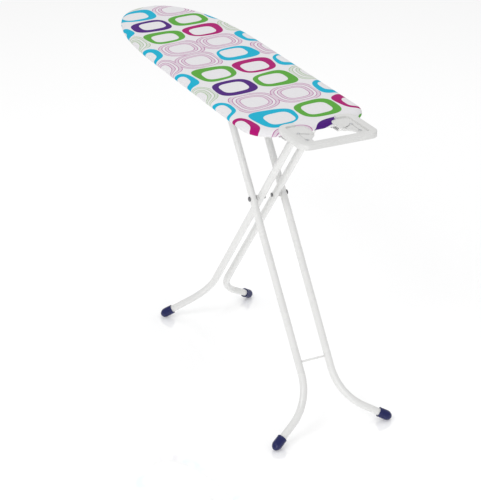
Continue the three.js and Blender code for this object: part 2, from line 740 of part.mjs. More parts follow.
innerLeg.position.set(HINGE_X, 0, PIVOT_Z);
innerLeg.rotation.y = Math.PI - LEG_RISE;
outerLeg.position.set(SLIDE_X, 0, PIVOT_Z);
outerLeg.rotation.y = LEG_RISE;

// ---- Iron rest and its straps ----------------------------------------------------------------

// A rectangle in plan with round corners.
function roundedRect(lowX, highX, half, backRadius, frontRadius) {
  const shape = new THREE.Shape();
  shape.absarc(highX - frontRadius, half - frontRadius, frontRadius, 0, Math.PI / 2);
  shape.absarc(lowX + backRadius, half - backRadius, backRadius, Math.PI / 2, Math.PI);
  shape.absarc(lowX + backRadius, backRadius - half, backRadius, Math.PI, Math.PI * 1.5);
  shape.absarc(highX - frontRadius, frontRadius - half, frontRadius, Math.PI * 1.5, Math.PI * 2);
  return new THREE.Shape(shape.getPoints(6));
}

// The opening in plan: narrow beside the board, wider in front, and open towards the board.
const REST_OPENING = [
  [REST_BACK_X - 5, 66], [326, 66], [334, 44], [368, 42], [394, 45], [421, 70], [442, 72], [446, 66],
];

function buildIronRest() {
  const skirt = 3;
  const corner = { back: 32, front: 28 };
  const recessCorner = { back: 18, front: 12 };
  const low = REST_TOP_Z - REST_WALL;
  const webTop = REST_TOP_Z - REST_STEP;
  const webUnder = webTop - REST_PLATE;
  const outside = roundedRect(REST_BACK_X, REST_FRONT_X, REST_HALF_WIDTH, corner.back, corner.front);
  const underside = roundedRect(
    REST_BACK_X + skirt,
    REST_FRONT_X - skirt,
    REST_HALF_WIDTH - skirt,
    corner.back - skirt,
    corner.front - skirt,
  );
  const recess = roundedRect(
    REST_BACK_X + REST_BAND - 6,
    REST_FRONT_X - REST_BAND,
    REST_HALF_WIDTH - REST_BAND,
    recessCorner.back,
    recessCorner.front,
  );
  const opening = new THREE.Shape([
    ...REST_OPENING.map(([x, y]) => new THREE.Vector2(x, -y)),
    ...REST_OPENING.map(([x, y]) => new THREE.Vector2(x, y)).reverse(),
  ]);
  const body = slab(outside, low, REST_TOP_Z);
  const under = slab(underside, low - 1, webUnder);
  const sunk = slab(recess, webTop, REST_TOP_Z + 1);
  const through = slab(opening, low - 1, REST_TOP_Z + 1);
  const boardRoom = block(
    [0, -BOARD_HALF_WIDTH, low - 1],
    [STRAP_X.bendHigh, BOARD_HALF_WIDTH, TOP_Z + 1.5],
  );
  const screwHoles = REST_SCREW_X.flatMap((x) => [-1, 1].map((side) => (
    barUp(REST_SCREW_BORE, webUnder - 1, webTop + 1, x, side * REST_SCREW_Y, 10)
  )));
  const drains = [-1, 1].map((side) => (
    barUp(REST_DRAIN.radius, webUnder - 1, webTop + 1, REST_DRAIN.x, side * REST_DRAIN.y, 14)
  ));
  return cut(body, under, sunk, through, boardRoom, ...screwHoles, ...drains);
}

const REST_SCREW_Y = (STRAP_Y[0] + STRAP_Y[1]) / 2;
const WEB_UNDER_Z = REST_TOP_Z - REST_STEP - REST_PLATE;
const STRAP_HIGH_Z = WEB_UNDER_Z - GAP - STRAP_SHEET;
const STRAP_LOW_Z = RAIL_BOTTOM_Z + SHEET + GAP;

add(board, 'iron_rest', buildIronRest(), GREY_PLASTIC);

// A cranked steel strap: flat inside the rail, up past the tail edge, flat under the web.
function buildStrap() {
  const low = STRAP_LOW_Z;
  const high = STRAP_HIGH_Z;
  const { inRail, bendLow, bendHigh, end } = STRAP_X;
  const strap = plateAcross([
    [inRail, low], [bendLow, low], [bendHigh, high], [end, high],
    [end, high + STRAP_SHEET], [bendHigh - 1, high + STRAP_SHEET],
    [bendLow - 1, low + STRAP_SHEET], [inRail, low + STRAP_SHEET],
  ], ...STRAP_Y);
  const holes = REST_SCREW_X.map((x) => (
    barUp(REST_SCREW_BORE, high - 1, high + STRAP_SHEET + 1, x, REST_SCREW_Y, 10)
  ));
  return cut(strap, ...holes);
}

addPair(board, 'rest_strap', buildStrap(), WHITE_PAINT);

// A pan-head screw down through the web and the strap.
function buildRestScrew(x) {
  const seat = REST_TOP_Z - REST_STEP + GAP;
  const end = STRAP_HIGH_Z - 4;
  const outline = [
    [0, end], [1.4, end], [2.1, end + 1], [2.1, seat], [4.4, seat], [4.4, seat + 1.4],
    [3.2, seat + 2.4], [0, seat + 2.6],
  ];
  const screw = new THREE.LatheGeometry(outline.map(([r, z]) => new THREE.Vector2(r, z)), 12);
  return screw.rotateX(Math.PI / 2).translate(x, REST_SCREW_Y, 0);
}

addPair(board, 'rest_screw_back', buildRestScrew(REST_SCREW_X[0]), ZINC);
addPair(board, 'rest_screw_front', buildRestScrew(REST_SCREW_X[1]), ZINC);

// ---- Assembly --------------------------------------------------------------------------------

const ironingBoard = new THREE.Group();
ironingBoard.add(board, lever, innerLeg, outerLeg);

// The origin goes to the middle of the footprint, on the floor.
const extent = new THREE.Box3().setFromObject(ironingBoard, true);
const middle = extent.getCenter(new THREE.Vector3());
ironingBoard.position.set(-middle.x, -middle.y, -extent.min.z);

export default ironingBoard;
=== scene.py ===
# %% [markdown]
# # A folding ironing board
#
# The steel frame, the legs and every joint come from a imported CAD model, which is loaded first and is
# never moved. This lesson builds what a person sees around it: a padded board in a printed cotton cover,
# powder-coated tubes, moulded plastic and plated hardware. Every new shape is a grid of points that numpy
# works out in one go from a short formula, and every finish is a small tree of shader nodes.

# %% Load the frame
import json
import math

import bmesh
import bpy
import numpy as np
from mathutils import Matrix, Vector
from mathutils.geometry import delaunay_2d_cdt


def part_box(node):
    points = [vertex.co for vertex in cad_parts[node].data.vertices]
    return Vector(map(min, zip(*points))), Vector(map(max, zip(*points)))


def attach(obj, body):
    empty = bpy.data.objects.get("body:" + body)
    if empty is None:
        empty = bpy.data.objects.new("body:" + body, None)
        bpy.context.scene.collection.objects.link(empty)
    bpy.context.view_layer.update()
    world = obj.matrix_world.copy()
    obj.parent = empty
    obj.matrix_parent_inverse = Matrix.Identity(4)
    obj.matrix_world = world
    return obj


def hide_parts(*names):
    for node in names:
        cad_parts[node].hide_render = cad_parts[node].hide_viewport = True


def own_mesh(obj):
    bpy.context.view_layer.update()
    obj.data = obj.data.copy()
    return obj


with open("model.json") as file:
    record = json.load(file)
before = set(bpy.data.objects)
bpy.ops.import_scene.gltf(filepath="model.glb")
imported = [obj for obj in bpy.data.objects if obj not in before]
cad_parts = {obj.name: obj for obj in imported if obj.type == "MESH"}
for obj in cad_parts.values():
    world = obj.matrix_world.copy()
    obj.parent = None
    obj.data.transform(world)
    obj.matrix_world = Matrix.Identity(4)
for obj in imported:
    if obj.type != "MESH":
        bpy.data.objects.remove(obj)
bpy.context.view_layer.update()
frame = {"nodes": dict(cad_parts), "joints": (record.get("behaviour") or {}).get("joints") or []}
MM = 0.001
joint_at = {joint["name"]: np.array(joint["pos_m"]) for joint in frame["joints"]}

# %% [markdown]
# ## Camera
#
# The board is seen from its tail, from a little above a standing person's eye, with a long lens. The camera
# is made first, from a place, two angles and a small roll, because those are the numbers that a person
# would turn on a tripod head. Its three axes are written out and become the columns of its matrix.

# %% Camera
CAMERA_AT = (3.973, -1.952, 2.525)
CAMERA_AZIMUTH = math.radians(63.54)
CAMERA_ELEVATION = math.radians(26.60)
CAMERA_ROLL = 0.0066
LENS_MM = 110.3


def camera_axes(azimuth, elevation, roll):
    """Right, up and back axes of a camera that looks down by elevation, turned by azimuth from +Y."""
    back = Vector((
        math.sin(azimuth) * math.cos(elevation),
        -math.cos(azimuth) * math.cos(elevation),
        math.sin(elevation),
    ))
    right = Vector((math.cos(azimuth), math.sin(azimuth), 0))
    up = back.cross(right)
    level = math.cos(roll), math.sin(roll)
    return right * level[0] + up * level[1], up * level[0] - right * level[1], back


camera_data = bpy.data.cameras.new("camera")
camera_data.lens = LENS_MM
camera_data.clip_end = 60
camera = bpy.data.objects.new("camera", camera_data)
right, up, back = camera_axes(CAMERA_AZIMUTH, CAMERA_ELEVATION, CAMERA_ROLL)
camera.matrix_world = Matrix.Translation(CAMERA_AT) @ Matrix((right, up, back)).transposed().to_4x4()
bpy.context.scene.collection.objects.link(camera)
bpy.context.scene.camera = camera
print("camera looks down by", round(math.degrees(CAMERA_ELEVATION), 1), "degrees")

# %% [markdown]
# ## Studio
#
# A seamless pale floor, a white surround and three large soft lamps give the even light of a catalogue
# picture. The floor glows a little and has a faint gloss, so that it stays white and the feet mirror in it.
# The Standard view transform keeps the printed colours as bright as their values say.

# %% Studio
FLOOR_HALF = 40
FLOOR_WHITE, FLOOR_ROUGHNESS, FLOOR_IOR, FLOOR_GLOW = 0.98, 0.04, 2.6, 0.20
floor_mesh = bpy.data.meshes.new("floor")
corners = [(-FLOOR_HALF, -FLOOR_HALF, 0), (FLOOR_HALF, -FLOOR_HALF, 0)]
corners += [(FLOOR_HALF, FLOOR_HALF, 0), (-FLOOR_HALF, FLOOR_HALF, 0)]
floor_mesh.from_pydata(corners, [], [(0, 1, 2, 3)])
floor = bpy.data.objects.new("floor", floor_mesh)
bpy.context.scene.collection.objects.link(floor)

floor_material = bpy.data.materials.new("floor_paper")
floor_material.use_nodes = True
floor_shader = floor_material.node_tree.nodes["Principled BSDF"]
floor_shader.inputs["Base Color"].default_value = (FLOOR_WHITE, FLOOR_WHITE, FLOOR_WHITE, 1)
floor_shader.inputs["Roughness"].default_value = FLOOR_ROUGHNESS
floor_shader.inputs["IOR"].default_value = FLOOR_IOR
floor_shader.inputs["Emission Color"].default_value = (1, 1, 1, 1)
floor_shader.inputs["Emission Strength"].default_value = FLOOR_GLOW
floor_mesh.materials.append(floor_material)

SURROUND_STRENGTH = 0.66
world = bpy.data.worlds.new("surround")
world.use_nodes = True
world.node_tree.nodes["Background"].inputs["Color"].default_value = (1, 1, 1, 1)
world.node_tree.nodes["Background"].inputs["Strength"].default_value = SURROUND_STRENGTH
bpy.context.scene.world = world
bpy.context.scene.view_settings.view_transform = "Standard"


def soft_lamp(name, place, target, side, watts):
    """A square area lamp at place that faces target."""
    data = bpy.data.lights.new(name, "AREA")
    data.energy = watts
    data.size = side
    lamp = bpy.data.objects.new(name, data)
    lamp.location = place
    lamp.rotation_euler = (Vector(target) - Vector(place)).to_track_quat("-Z", "Y").to_euler()
    bpy.context.scene.collection.objects.link(lamp)


soft_lamp("key_lamp", (1.5, -3.6, 4.2), (0, 0, 0.6), 2.4, 62)
soft_lamp("top_lamp", (-1.0, 1.2, 4.6), (0, 0, 0.6), 3.2, 36)
soft_lamp("fill_lamp", (3.6, -1.6, 0.9), (0.3, 0, 0.6), 2.0, 24)
print("surround strength", SURROUND_STRENGTH)

# %% [markdown]
# ## Shells and pieces
#
# A shell is a grid of points and the faces between them. Two builders cover most of this object: a profile
# carried along a path, and a profile turned about an axis. Both write the whole grid as one array. A piece
# is one or more shells in a single mesh, which rides on a CAD body and stands for the CAD nodes it names.

# %% Shell helpers
def unit(vectors):
    """Each vector divided by its length."""
    return vectors / np.linalg.norm(vectors, axis=-1, keepdims=True)


def grid_shell(grid, around=True, along=False, ends=True):
    """Quads between neighbours of a grid. around joins the last column to the first, along the last row
    to the first, and ends closes the first and last rows with a face each."""
    rows, columns = grid.shape[:2]
    index = np.arange(rows * columns).reshape(rows, columns)
    if around:
        index = np.column_stack([index, index[:, :1]])
    if along:
        index = np.vstack([index, index[:1]])
    quads = [index[:-1, :-1], index[1:, :-1], index[1:, 1:], index[:-1, 1:]]
    faces = np.stack(quads, -1).reshape(-1, 4).tolist()
    if ends and not along:
        faces += [index[0, :columns].tolist(), index[-1, :columns].tolist()]
    return grid.reshape(-1, 3), faces


def soften(points, radius, closed=True, steps=3):
    """Each corner of a polygon becomes a short arc: a curve between the points one radius before and
    after it, (1-t)^2 before + 2t(1-t) corner + t^2 after."""
    points = np.array(points, float)
    before, after = np.roll(points, 1, 0), np.roll(points, -1, 0)
    reach_in = np.minimum(radius, 0.45 * np.linalg.norm(points - before, axis=1))[:, None]
    reach_out = np.minimum(radius, 0.45 * np.linalg.norm(after - points, axis=1))[:, None]
    start = points + unit(before - points) * reach_in
    end = points + unit(after - points) * reach_out
    t = np.linspace(0, 1, steps + 1)[None, :, None]
    arcs = (1 - t) ** 2 * start[:, None] + 2 * t * (1 - t) * points[:, None] + t**2 * end[:, None]
    if closed:
        return arcs.reshape(-1, points.shape[1])
    return np.vstack([points[:1], arcs[1:-1].reshape(-1, points.shape[1]), points[-1:]])


def circle(radius, sides=32):
    """Points of a circle as (radius cos, radius sin)."""
    turn = np.linspace(0, 2 * np.pi, sides, endpoint=False)
    return radius * np.column_stack([np.cos(turn), np.sin(turn)])


def carry(profile, path, up=(0, 0, 1)):
    """Grid of a profile carried along a path: path + a*side + b*rise, where side is the path's direction
    crossed with up, and rise is side crossed with the direction."""
    path, profile = np.array(path, float), np.array(profile, float)
    direction = unit(np.gradient(path, axis=0))
    side = unit(np.cross(direction, up))
    rise = np.cross(side, direction)
    a, b = profile[None, :, :1], profile[None, :, 1:]
    return path[:, None] + a * side[:, None] + b * rise[:, None]


def turn_about(profile, origin, axis, sides=40):
    """Grid of a profile of (radius, height) turned about an axis: origin + height*axis + radius*spoke."""
    profile, axis = np.array(profile, float), unit(np.array(axis, float))
    helper = np.array([0, 0, 1.0]) if abs(axis[2]) < 0.9 else np.array([1.0, 0, 0])
    first = unit(np.cross(axis, helper))
    second = np.cross(axis, first)
    turn = np.linspace(0, 2 * np.pi, sides, endpoint=False)
    spoke = np.cos(turn)[:, None] * first + np.sin(turn)[:, None] * second
    heights = np.array(origin, float) + profile[:, 1:] * axis
    return heights[:, None] + profile[:, :1, None] * spoke[None]


def turned(profile, origin, axis, sides=40, ring=False):
    """Shell of a turned profile. A ring's profile closes on itself, and any other ends on the axis."""
    return grid_shell(turn_about(profile, origin, axis, sides), along=ring, ends=False)


def plate(loops, low, high):
    """A flat sheet between two heights: its outline is the first loop, and the others are holes."""
    points = [Vector(p) for loop in loops for p in loop]
    edges, first = [], 0
    for loop in loops:
        edges += [(first + i, first + (i + 1) % len(loop)) for i in range(len(loop))]
        first += len(loop)
    flat, _, faces, *_ = delaunay_2d_cdt(points, edges, [], 4 if len(loops) > 1 else 1, 1e-7)
    flat = np.array([tuple(p) for p in flat])
    count = len(flat)
    shells = [np.column_stack([flat, np.full(count, z)]) for z in (low, high)]
    all_faces = [list(f) for f in faces] + [[i + count for i in f] for f in faces]
    first = 2 * count
    for loop in loops:
        loop, size = np.array(loop), len(loop)
        shells += [np.column_stack([loop, np.full(size, z)]) for z in (low, high)]
        step = [(i, (i + 1) % size) for i in range(size)]
        all_faces += [[first + i, first + j, first + size + j, first + size + i] for i, j in step]
        first += 2 * size
    return np.vstack(shells), all_faces


# %% Piece helper
SMOOTH_UNDER, BEVEL_OVER = math.radians(38), math.radians(40)
WELD = 1e-6
SIDES = ((1, "right"), (-1, "left"))


def piece(name, shells, material, body, nodes=(), bevel=0.0, attribute=None):
    """One mesh object of several shells, with welded doubles and outward faces, on a body of the frame."""
    starts = np.cumsum([0] + [len(points) for points, _ in shells[:-1]])
    points = np.vstack([points for points, _ in shells])
    faces = [[i + start for i in f] for start, (_, fs) in zip(starts, shells) for f in fs]
    mesh = bpy.data.meshes.new(name)
    mesh.from_pydata(points.tolist(), [], faces)
    if attribute is not None:
        layer = mesh.attributes.new("cloth", "FLOAT_VECTOR", "POINT")
        layer.data.foreach_set("vector", attribute.astype(np.float32).ravel())
    work = bmesh.new()
    work.from_mesh(mesh)
    bmesh.ops.remove_doubles(work, verts=work.verts, dist=WELD)
    bmesh.ops.recalc_face_normals(work, faces=work.faces)
    work.to_mesh(mesh)
    work.free()
    return dress(name, mesh, material, body, nodes, bevel)


def dress(name, mesh, material, body, nodes, bevel):
    """Puts a mesh into the scene with its finish, its body and the CAD nodes that it stands for."""
    mesh.shade_smooth()
    mesh.set_sharp_from_angle(angle=SMOOTH_UNDER)
    mesh.materials.clear()
    mesh.materials.append(material)
    made = bpy.data.objects.new(name, mesh)
    bpy.context.scene.collection.objects.link(made)
    if bevel:
        edge = made.modifiers.new("worn_edges", "BEVEL")
        edge.width = bevel
        edge.segments = 2
        edge.limit_method = "ANGLE"
        edge.angle_limit = BEVEL_OVER
    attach(made, body)
    if nodes:
        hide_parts(*nodes)
    print(f"{name}: {len(mesh.vertices)} points, {len(mesh.polygons)} faces")
    return made


def pressed(node, material, body, bevel=0.35 * MM):
    """A pressed or cut piece of metal: a merged copy of its CAD node whose edges are rounded."""
    mesh = frame["nodes"][node].data.copy()
    work = bmesh.new()
    work.from_mesh(mesh)
    bmesh.ops.remove_doubles(work, verts=work.verts, dist=WELD)
    bmesh.ops.dissolve_limit(
        work, angle_limit=math.radians(0.5), verts=work.verts, edges=work.edges, delimit={"NORMAL"}
    )
    work.to_mesh(mesh)
    work.free()
    return dress(f"{node}_finished", mesh, material, body, [node], bevel)


# %% [markdown]
# ## Finishes
#
# Effects that several materials share are node groups: a slow unevenness that varies gloss and shade, a
# fine grain for moulded and coated surfaces, and a plain weave. Each material then has one Principled
# shader, with its constant values on the shader's own sockets.

# %% Node helpers
class Tree:
    """A small writer for node trees: each call adds a node and returns an output socket."""

    def __init__(self, tree):
        self.tree = tree

    def node(self, kind, **settings):
        made = self.tree.nodes.new(kind)
        for key, value in settings.items():
            setattr(made, key, value)
        return made

    def feed(self, socket, value):
        if isinstance(value, bpy.types.NodeSocket):
            self.tree.links.new(value, socket)
        elif value is not None:
            socket.default_value = value

    def math(self, operation, a, b=None, c=None):
        made = self.node("ShaderNodeMath", operation=operation)
        for socket, value in zip(made.inputs, (a, b, c)):
            self.feed(socket, value)
        return made.outputs[0]

    def vector(self, operation, a, b=None):
        made = self.node("ShaderNodeVectorMath", operation=operation)
        for socket, value in zip(made.inputs, (a, b)):
            self.feed(socket, value)
        return made.outputs[0]

    def mix(self, factor, a, b):
        made = self.node("ShaderNodeMix", data_type="RGBA")
        self.feed(made.inputs["Factor"], factor)
        self.feed(made.inputs[6], a)
        self.feed(made.inputs[7], b)
        return made.outputs[2]

    def between(self, value, low, high, to_low=0.0, to_high=1.0):
        made = self.node("ShaderNodeMapRange", interpolation_type="SMOOTHSTEP")
        for socket, item in zip(made.inputs, (value, low, high, to_low, to_high)):
            self.feed(socket, item)
        return made.outputs[0]

    def noise(self, vector, scale, detail=2.0):
        made = self.node("ShaderNodeTexNoise")
        self.feed(made.inputs["Vector"], vector)
        self.feed(made.inputs["Scale"], scale)
        self.feed(made.inputs["Detail"], detail)
        return made.outputs[0]


def group(name, inputs, outputs):
    """A new node group with named sockets: (tree writer, its input sockets, its output node)."""
    tree = bpy.data.node_groups.new(name, "ShaderNodeTree")
    for label, kind, value in inputs:
        socket = tree.interface.new_socket(label, in_out="INPUT", socket_type=kind)
        if value is not None:
            socket.default_value = value
    for label, kind in outputs:
        tree.interface.new_socket(label, in_out="OUTPUT", socket_type=kind)
    writer = Tree(tree)
    entry, leave = writer.node("NodeGroupInput"), writer.node("NodeGroupOutput")
    return writer, entry.outputs, leave.inputs


def use_group(writer, name, **values):
    """Places a group and returns its outputs."""
    made = writer.node("ShaderNodeGroup", node_tree=bpy.data.node_groups[name])
    for key, value in values.items():
        writer.feed(made.inputs[key], value)
    return made.outputs


FLOAT, VECTOR = "NodeSocketFloat", "NodeSocketVector"

# %% Shared effects
tree, given, out = group(
    "unevenness",
    [("Vector", VECTOR, None), ("Scale", FLOAT, 6.0), ("Low", FLOAT, 0.3), ("High", FLOAT, 0.4)],
    [("Value", FLOAT)],
)
slow = tree.noise(given["Vector"], given["Scale"], 3.0)
tree.feed(out["Value"], tree.between(slow, 0.3, 0.7, given["Low"], given["High"]))

tree, given, out = group(
    "grain",
    [("Vector", VECTOR, None), ("Scale", FLOAT, 900.0), ("Depth", FLOAT, 1.0)],
    [("Height", FLOAT)],
)
fine = tree.noise(given["Vector"], given["Scale"], 1.0)
tree.feed(out["Height"], tree.math("MULTIPLY", fine, given["Depth"]))

tree, given, out = group(
    "plain_weave",
    [("Vector", VECTOR, None), ("Threads", FLOAT, 1600.0)],
    [("Height", FLOAT), ("Shade", FLOAT)],
)
split = tree.node("ShaderNodeSeparateXYZ")
tree.feed(split.inputs[0], given["Vector"])
waves = []
for axis in (0, 1):
    turn = tree.math("MULTIPLY", split.outputs[axis], given["Threads"])
    waves.append(tree.math("SINE", tree.math("MULTIPLY", turn, math.pi)))
over_under = tree.math("MULTIPLY", waves[0], waves[1])
slub = tree.noise(given["Vector"], 160.0, 2.0)
tree.feed(out["Height"], tree.math("ADD", tree.math("MULTIPLY", over_under, 0.5), slub))
tree.feed(out["Shade"], tree.between(slub, 0.3, 0.7, 0.965, 1.0))
print("groups:", [g.name for g in bpy.data.node_groups])


# %% Material helper
def surface(name, colour, roughness, build=None, **shader_values):
    """A material with one Principled shader. build(writer, shader, place) adds its own nodes, where
    place is the Object coordinate."""
    made = bpy.data.materials.new(name)
    made.use_nodes = True
    shader = made.node_tree.nodes["Principled BSDF"]
    shader.inputs["Base Color"].default_value = (*colour, 1)
    shader.inputs["Roughness"].default_value = roughness
    for key, value in shader_values.items():
        shader.inputs[key.replace("_", " ")].default_value = value
    writer = Tree(made.node_tree)
    place = writer.node("ShaderNodeTexCoord").outputs["Object"]
    if build:
        build(writer, shader, place)
    return made


def bump(writer, shader, height, strength, distance):
    """Feeds a height into the shader's normal."""
    made = writer.node("ShaderNodeBump")
    made.inputs["Strength"].default_value = strength
    made.inputs["Distance"].default_value = distance
    writer.feed(made.inputs["Height"], height)
    writer.feed(shader.inputs["Normal"], made.outputs["Normal"])


def shaded(writer, shader, place, colour, spread, scale):
    """Colour that drifts a little from place to place."""
    tone = use_group(writer, "unevenness", Vector=place, Scale=scale, Low=0.0, High=1.0)["Value"]
    darker = (*(c * (1 - spread) for c in colour), 1)
    writer.feed(shader.inputs["Base Color"], writer.mix(tone, darker, (*colour, 1)))


# %% [markdown]
# ### Hard finishes
#
# Powder coat is a thick glossy skin with a slight orange peel. Zinc plating is a bright metal, brushed a
# little by handling. The moulded plastics differ in gloss: the iron rest is satin, and the feet shine.

# %% Hard finishes
def coat_nodes(colour, low, high, peel):
    """A coated or moulded skin: drifting shade, gloss between low and high, and a fine peel."""
    def build(writer, shader, place):
        shaded(writer, shader, place, colour, 0.03, 7.0)
        gloss = use_group(writer, "unevenness", Vector=place, Scale=14.0, Low=low, High=high)
        writer.feed(shader.inputs["Roughness"], gloss["Value"])
        height = use_group(writer, "grain", Vector=place, Scale=peel, Depth=1.0)["Height"]
        bump(writer, shader, height, 0.12, 0.0004)
    return build


PAINT, REST_GREY = (0.79, 0.79, 0.78), (0.72, 0.72, 0.71)
NAVY, BLACK, RUBBER_BLACK = (0.009, 0.013, 0.090), (0.022, 0.022, 0.024), (0.03, 0.03, 0.03)
ZINC_GREY, STEEL_GREY, RIVET_GREY = (0.60, 0.61, 0.63), (0.16, 0.16, 0.17), (0.22, 0.22, 0.23)

powder_coat = surface(
    "powder_coat", PAINT, 0.3, coat_nodes(PAINT, 0.24, 0.34, 420.0), Coat_Weight=0.35, Coat_Roughness=0.12
)
grey_plastic = surface("grey_plastic", REST_GREY, 0.42, coat_nodes(REST_GREY, 0.36, 0.46, 1500.0))
navy_plastic = surface(
    "navy_plastic", NAVY, 0.2, coat_nodes(NAVY, 0.14, 0.22, 500.0), Specular_IOR_Level=0.35
)
black_plastic = surface("black_plastic", BLACK, 0.45, coat_nodes(BLACK, 0.38, 0.5, 1500.0))
brake_rubber = surface("brake_rubber", RUBBER_BLACK, 0.8, coat_nodes(RUBBER_BLACK, 0.7, 0.9, 1200.0))


def metal_nodes(colour, low, high):
    """Handled metal: as a coat, with its grain drawn out along x like brushing."""
    def build(writer, shader, place):
        shaded(writer, shader, place, colour, 0.14, 30.0)
        gloss = use_group(writer, "unevenness", Vector=place, Scale=45.0, Low=low, High=high)
        writer.feed(shader.inputs["Roughness"], gloss["Value"])
        stretched = writer.vector("MULTIPLY", place, (0.06, 1.0, 1.0))
        height = use_group(writer, "grain", Vector=stretched, Scale=1800.0, Depth=1.0)["Height"]
        bump(writer, shader, height, 0.15, 0.0002)
    return build


zinc = surface("zinc_plate", ZINC_GREY, 0.3, metal_nodes(ZINC_GREY, 0.24, 0.42), Metallic=1.0)
dark_steel = surface("dark_steel", STEEL_GREY, 0.35, metal_nodes(STEEL_GREY, 0.3, 0.45), Metallic=1.0)
rivet_steel = surface("rivet_steel", RIVET_GREY, 0.35, metal_nodes(RIVET_GREY, 0.28, 0.4), Metallic=0.9)

# %% [markdown]
# ### Printed cotton
#
# The print is rows of rounded squares. Most are thick rings whose hole sits off the centre, and the pale
# ones are pairs of thin lines. The cloth's own flat coordinates, in metres, drive it, so the print runs
# over the rolled edge as it does on real cloth. Each motif has a cell of a slightly sheared grid, which the
# drawstring stretches a little more towards the tail. A distance from the cell's middle is that of a
# superellipse: (|x|^p + |y|^p)^(1/p). White noise, one draw per cell, makes every motif a little different.

# %% Printed cotton
CELL = (0.1279, 0.140)
FIRST_ROW_Y = -0.285
ROW_SHEAR = 0.106
STRETCH = -0.0737
COLUMN_X = 0.1455
COLUMNS_BEFORE = 7
LAST_COLUMN, TAIL_SHIFT = 2, 0.04
INKS = {
    "cyan": (0.004, 0.44, 0.64, 1),
    "green": (0.105, 0.39, 0.045, 1),
    "magenta": (0.42, 0.004, 0.16, 1),
    "purple": (0.075, 0.012, 0.20, 1),
    "pink": (0.47, 0.14, 0.36, 0),
    "pale": (0.34, 0.50, 0.26, 0),
}
EDGE_ROW = "pale cyan cyan pale cyan pink cyan pale cyan magenta green".split()
LEFT_ROW = "pale cyan purple green pink pink green purple pink cyan pink".split()
RIGHT_ROW = "purple pink green magenta pink cyan magenta green pink green purple".split()
GROUND = (0.80, 0.79, 0.81, 1)
THIN_PAIRS = ((0.98, 0.84), (0.70, 0.56))
LINE_HALF, LINE_EDGE, PAIR_TINT = 0.011, 0.008, 0.28
RING_EDGE, HOLE_EDGE, THIN_EDGE = ((0.445, 0.47), 3.0), ((0.285, 0.315), 3.3), ((0.52, 0.52), 2.9)
LEAN, SPREAD, HOLE_SHIFT, INK_EDGE = 0.8, 0.7, 0.12, 0.02
LEFT, RIGHT = 1.0, 2.0
THREADS_PER_M = 1600.0


def row_of_inks(writer, names, place):
    """A stepped ramp with one ink per motif. Its alpha is 1 for a thick ring and 0 for thin lines."""
    made = writer.node("ShaderNodeValToRGB")
    ramp = made.color_ramp
    ramp.interpolation = "CONSTANT"
    ramp.elements.remove(ramp.elements[1])
    ramp.elements[0].color = INKS[names[0]]
    for step, ink in enumerate(names[1:], 1):
        ramp.elements.new(step / len(names)).color = INKS[ink]
    writer.feed(made.inputs[0], place)
    return made.outputs


def rounded_distance(writer, x, y, half, power, shift=(0.0, 0.0)):
    """Distance from a superellipse's middle, 1 on its edge."""
    parts = []
    for value, size, offset in zip((x, y), half, shift):
        moved = writer.math("DIVIDE", writer.math("SUBTRACT", value, offset), size)
        parts.append(writer.math("POWER", writer.math("ABSOLUTE", moved), power))
    return writer.math("POWER", writer.math("ADD", *parts), 1 / power)


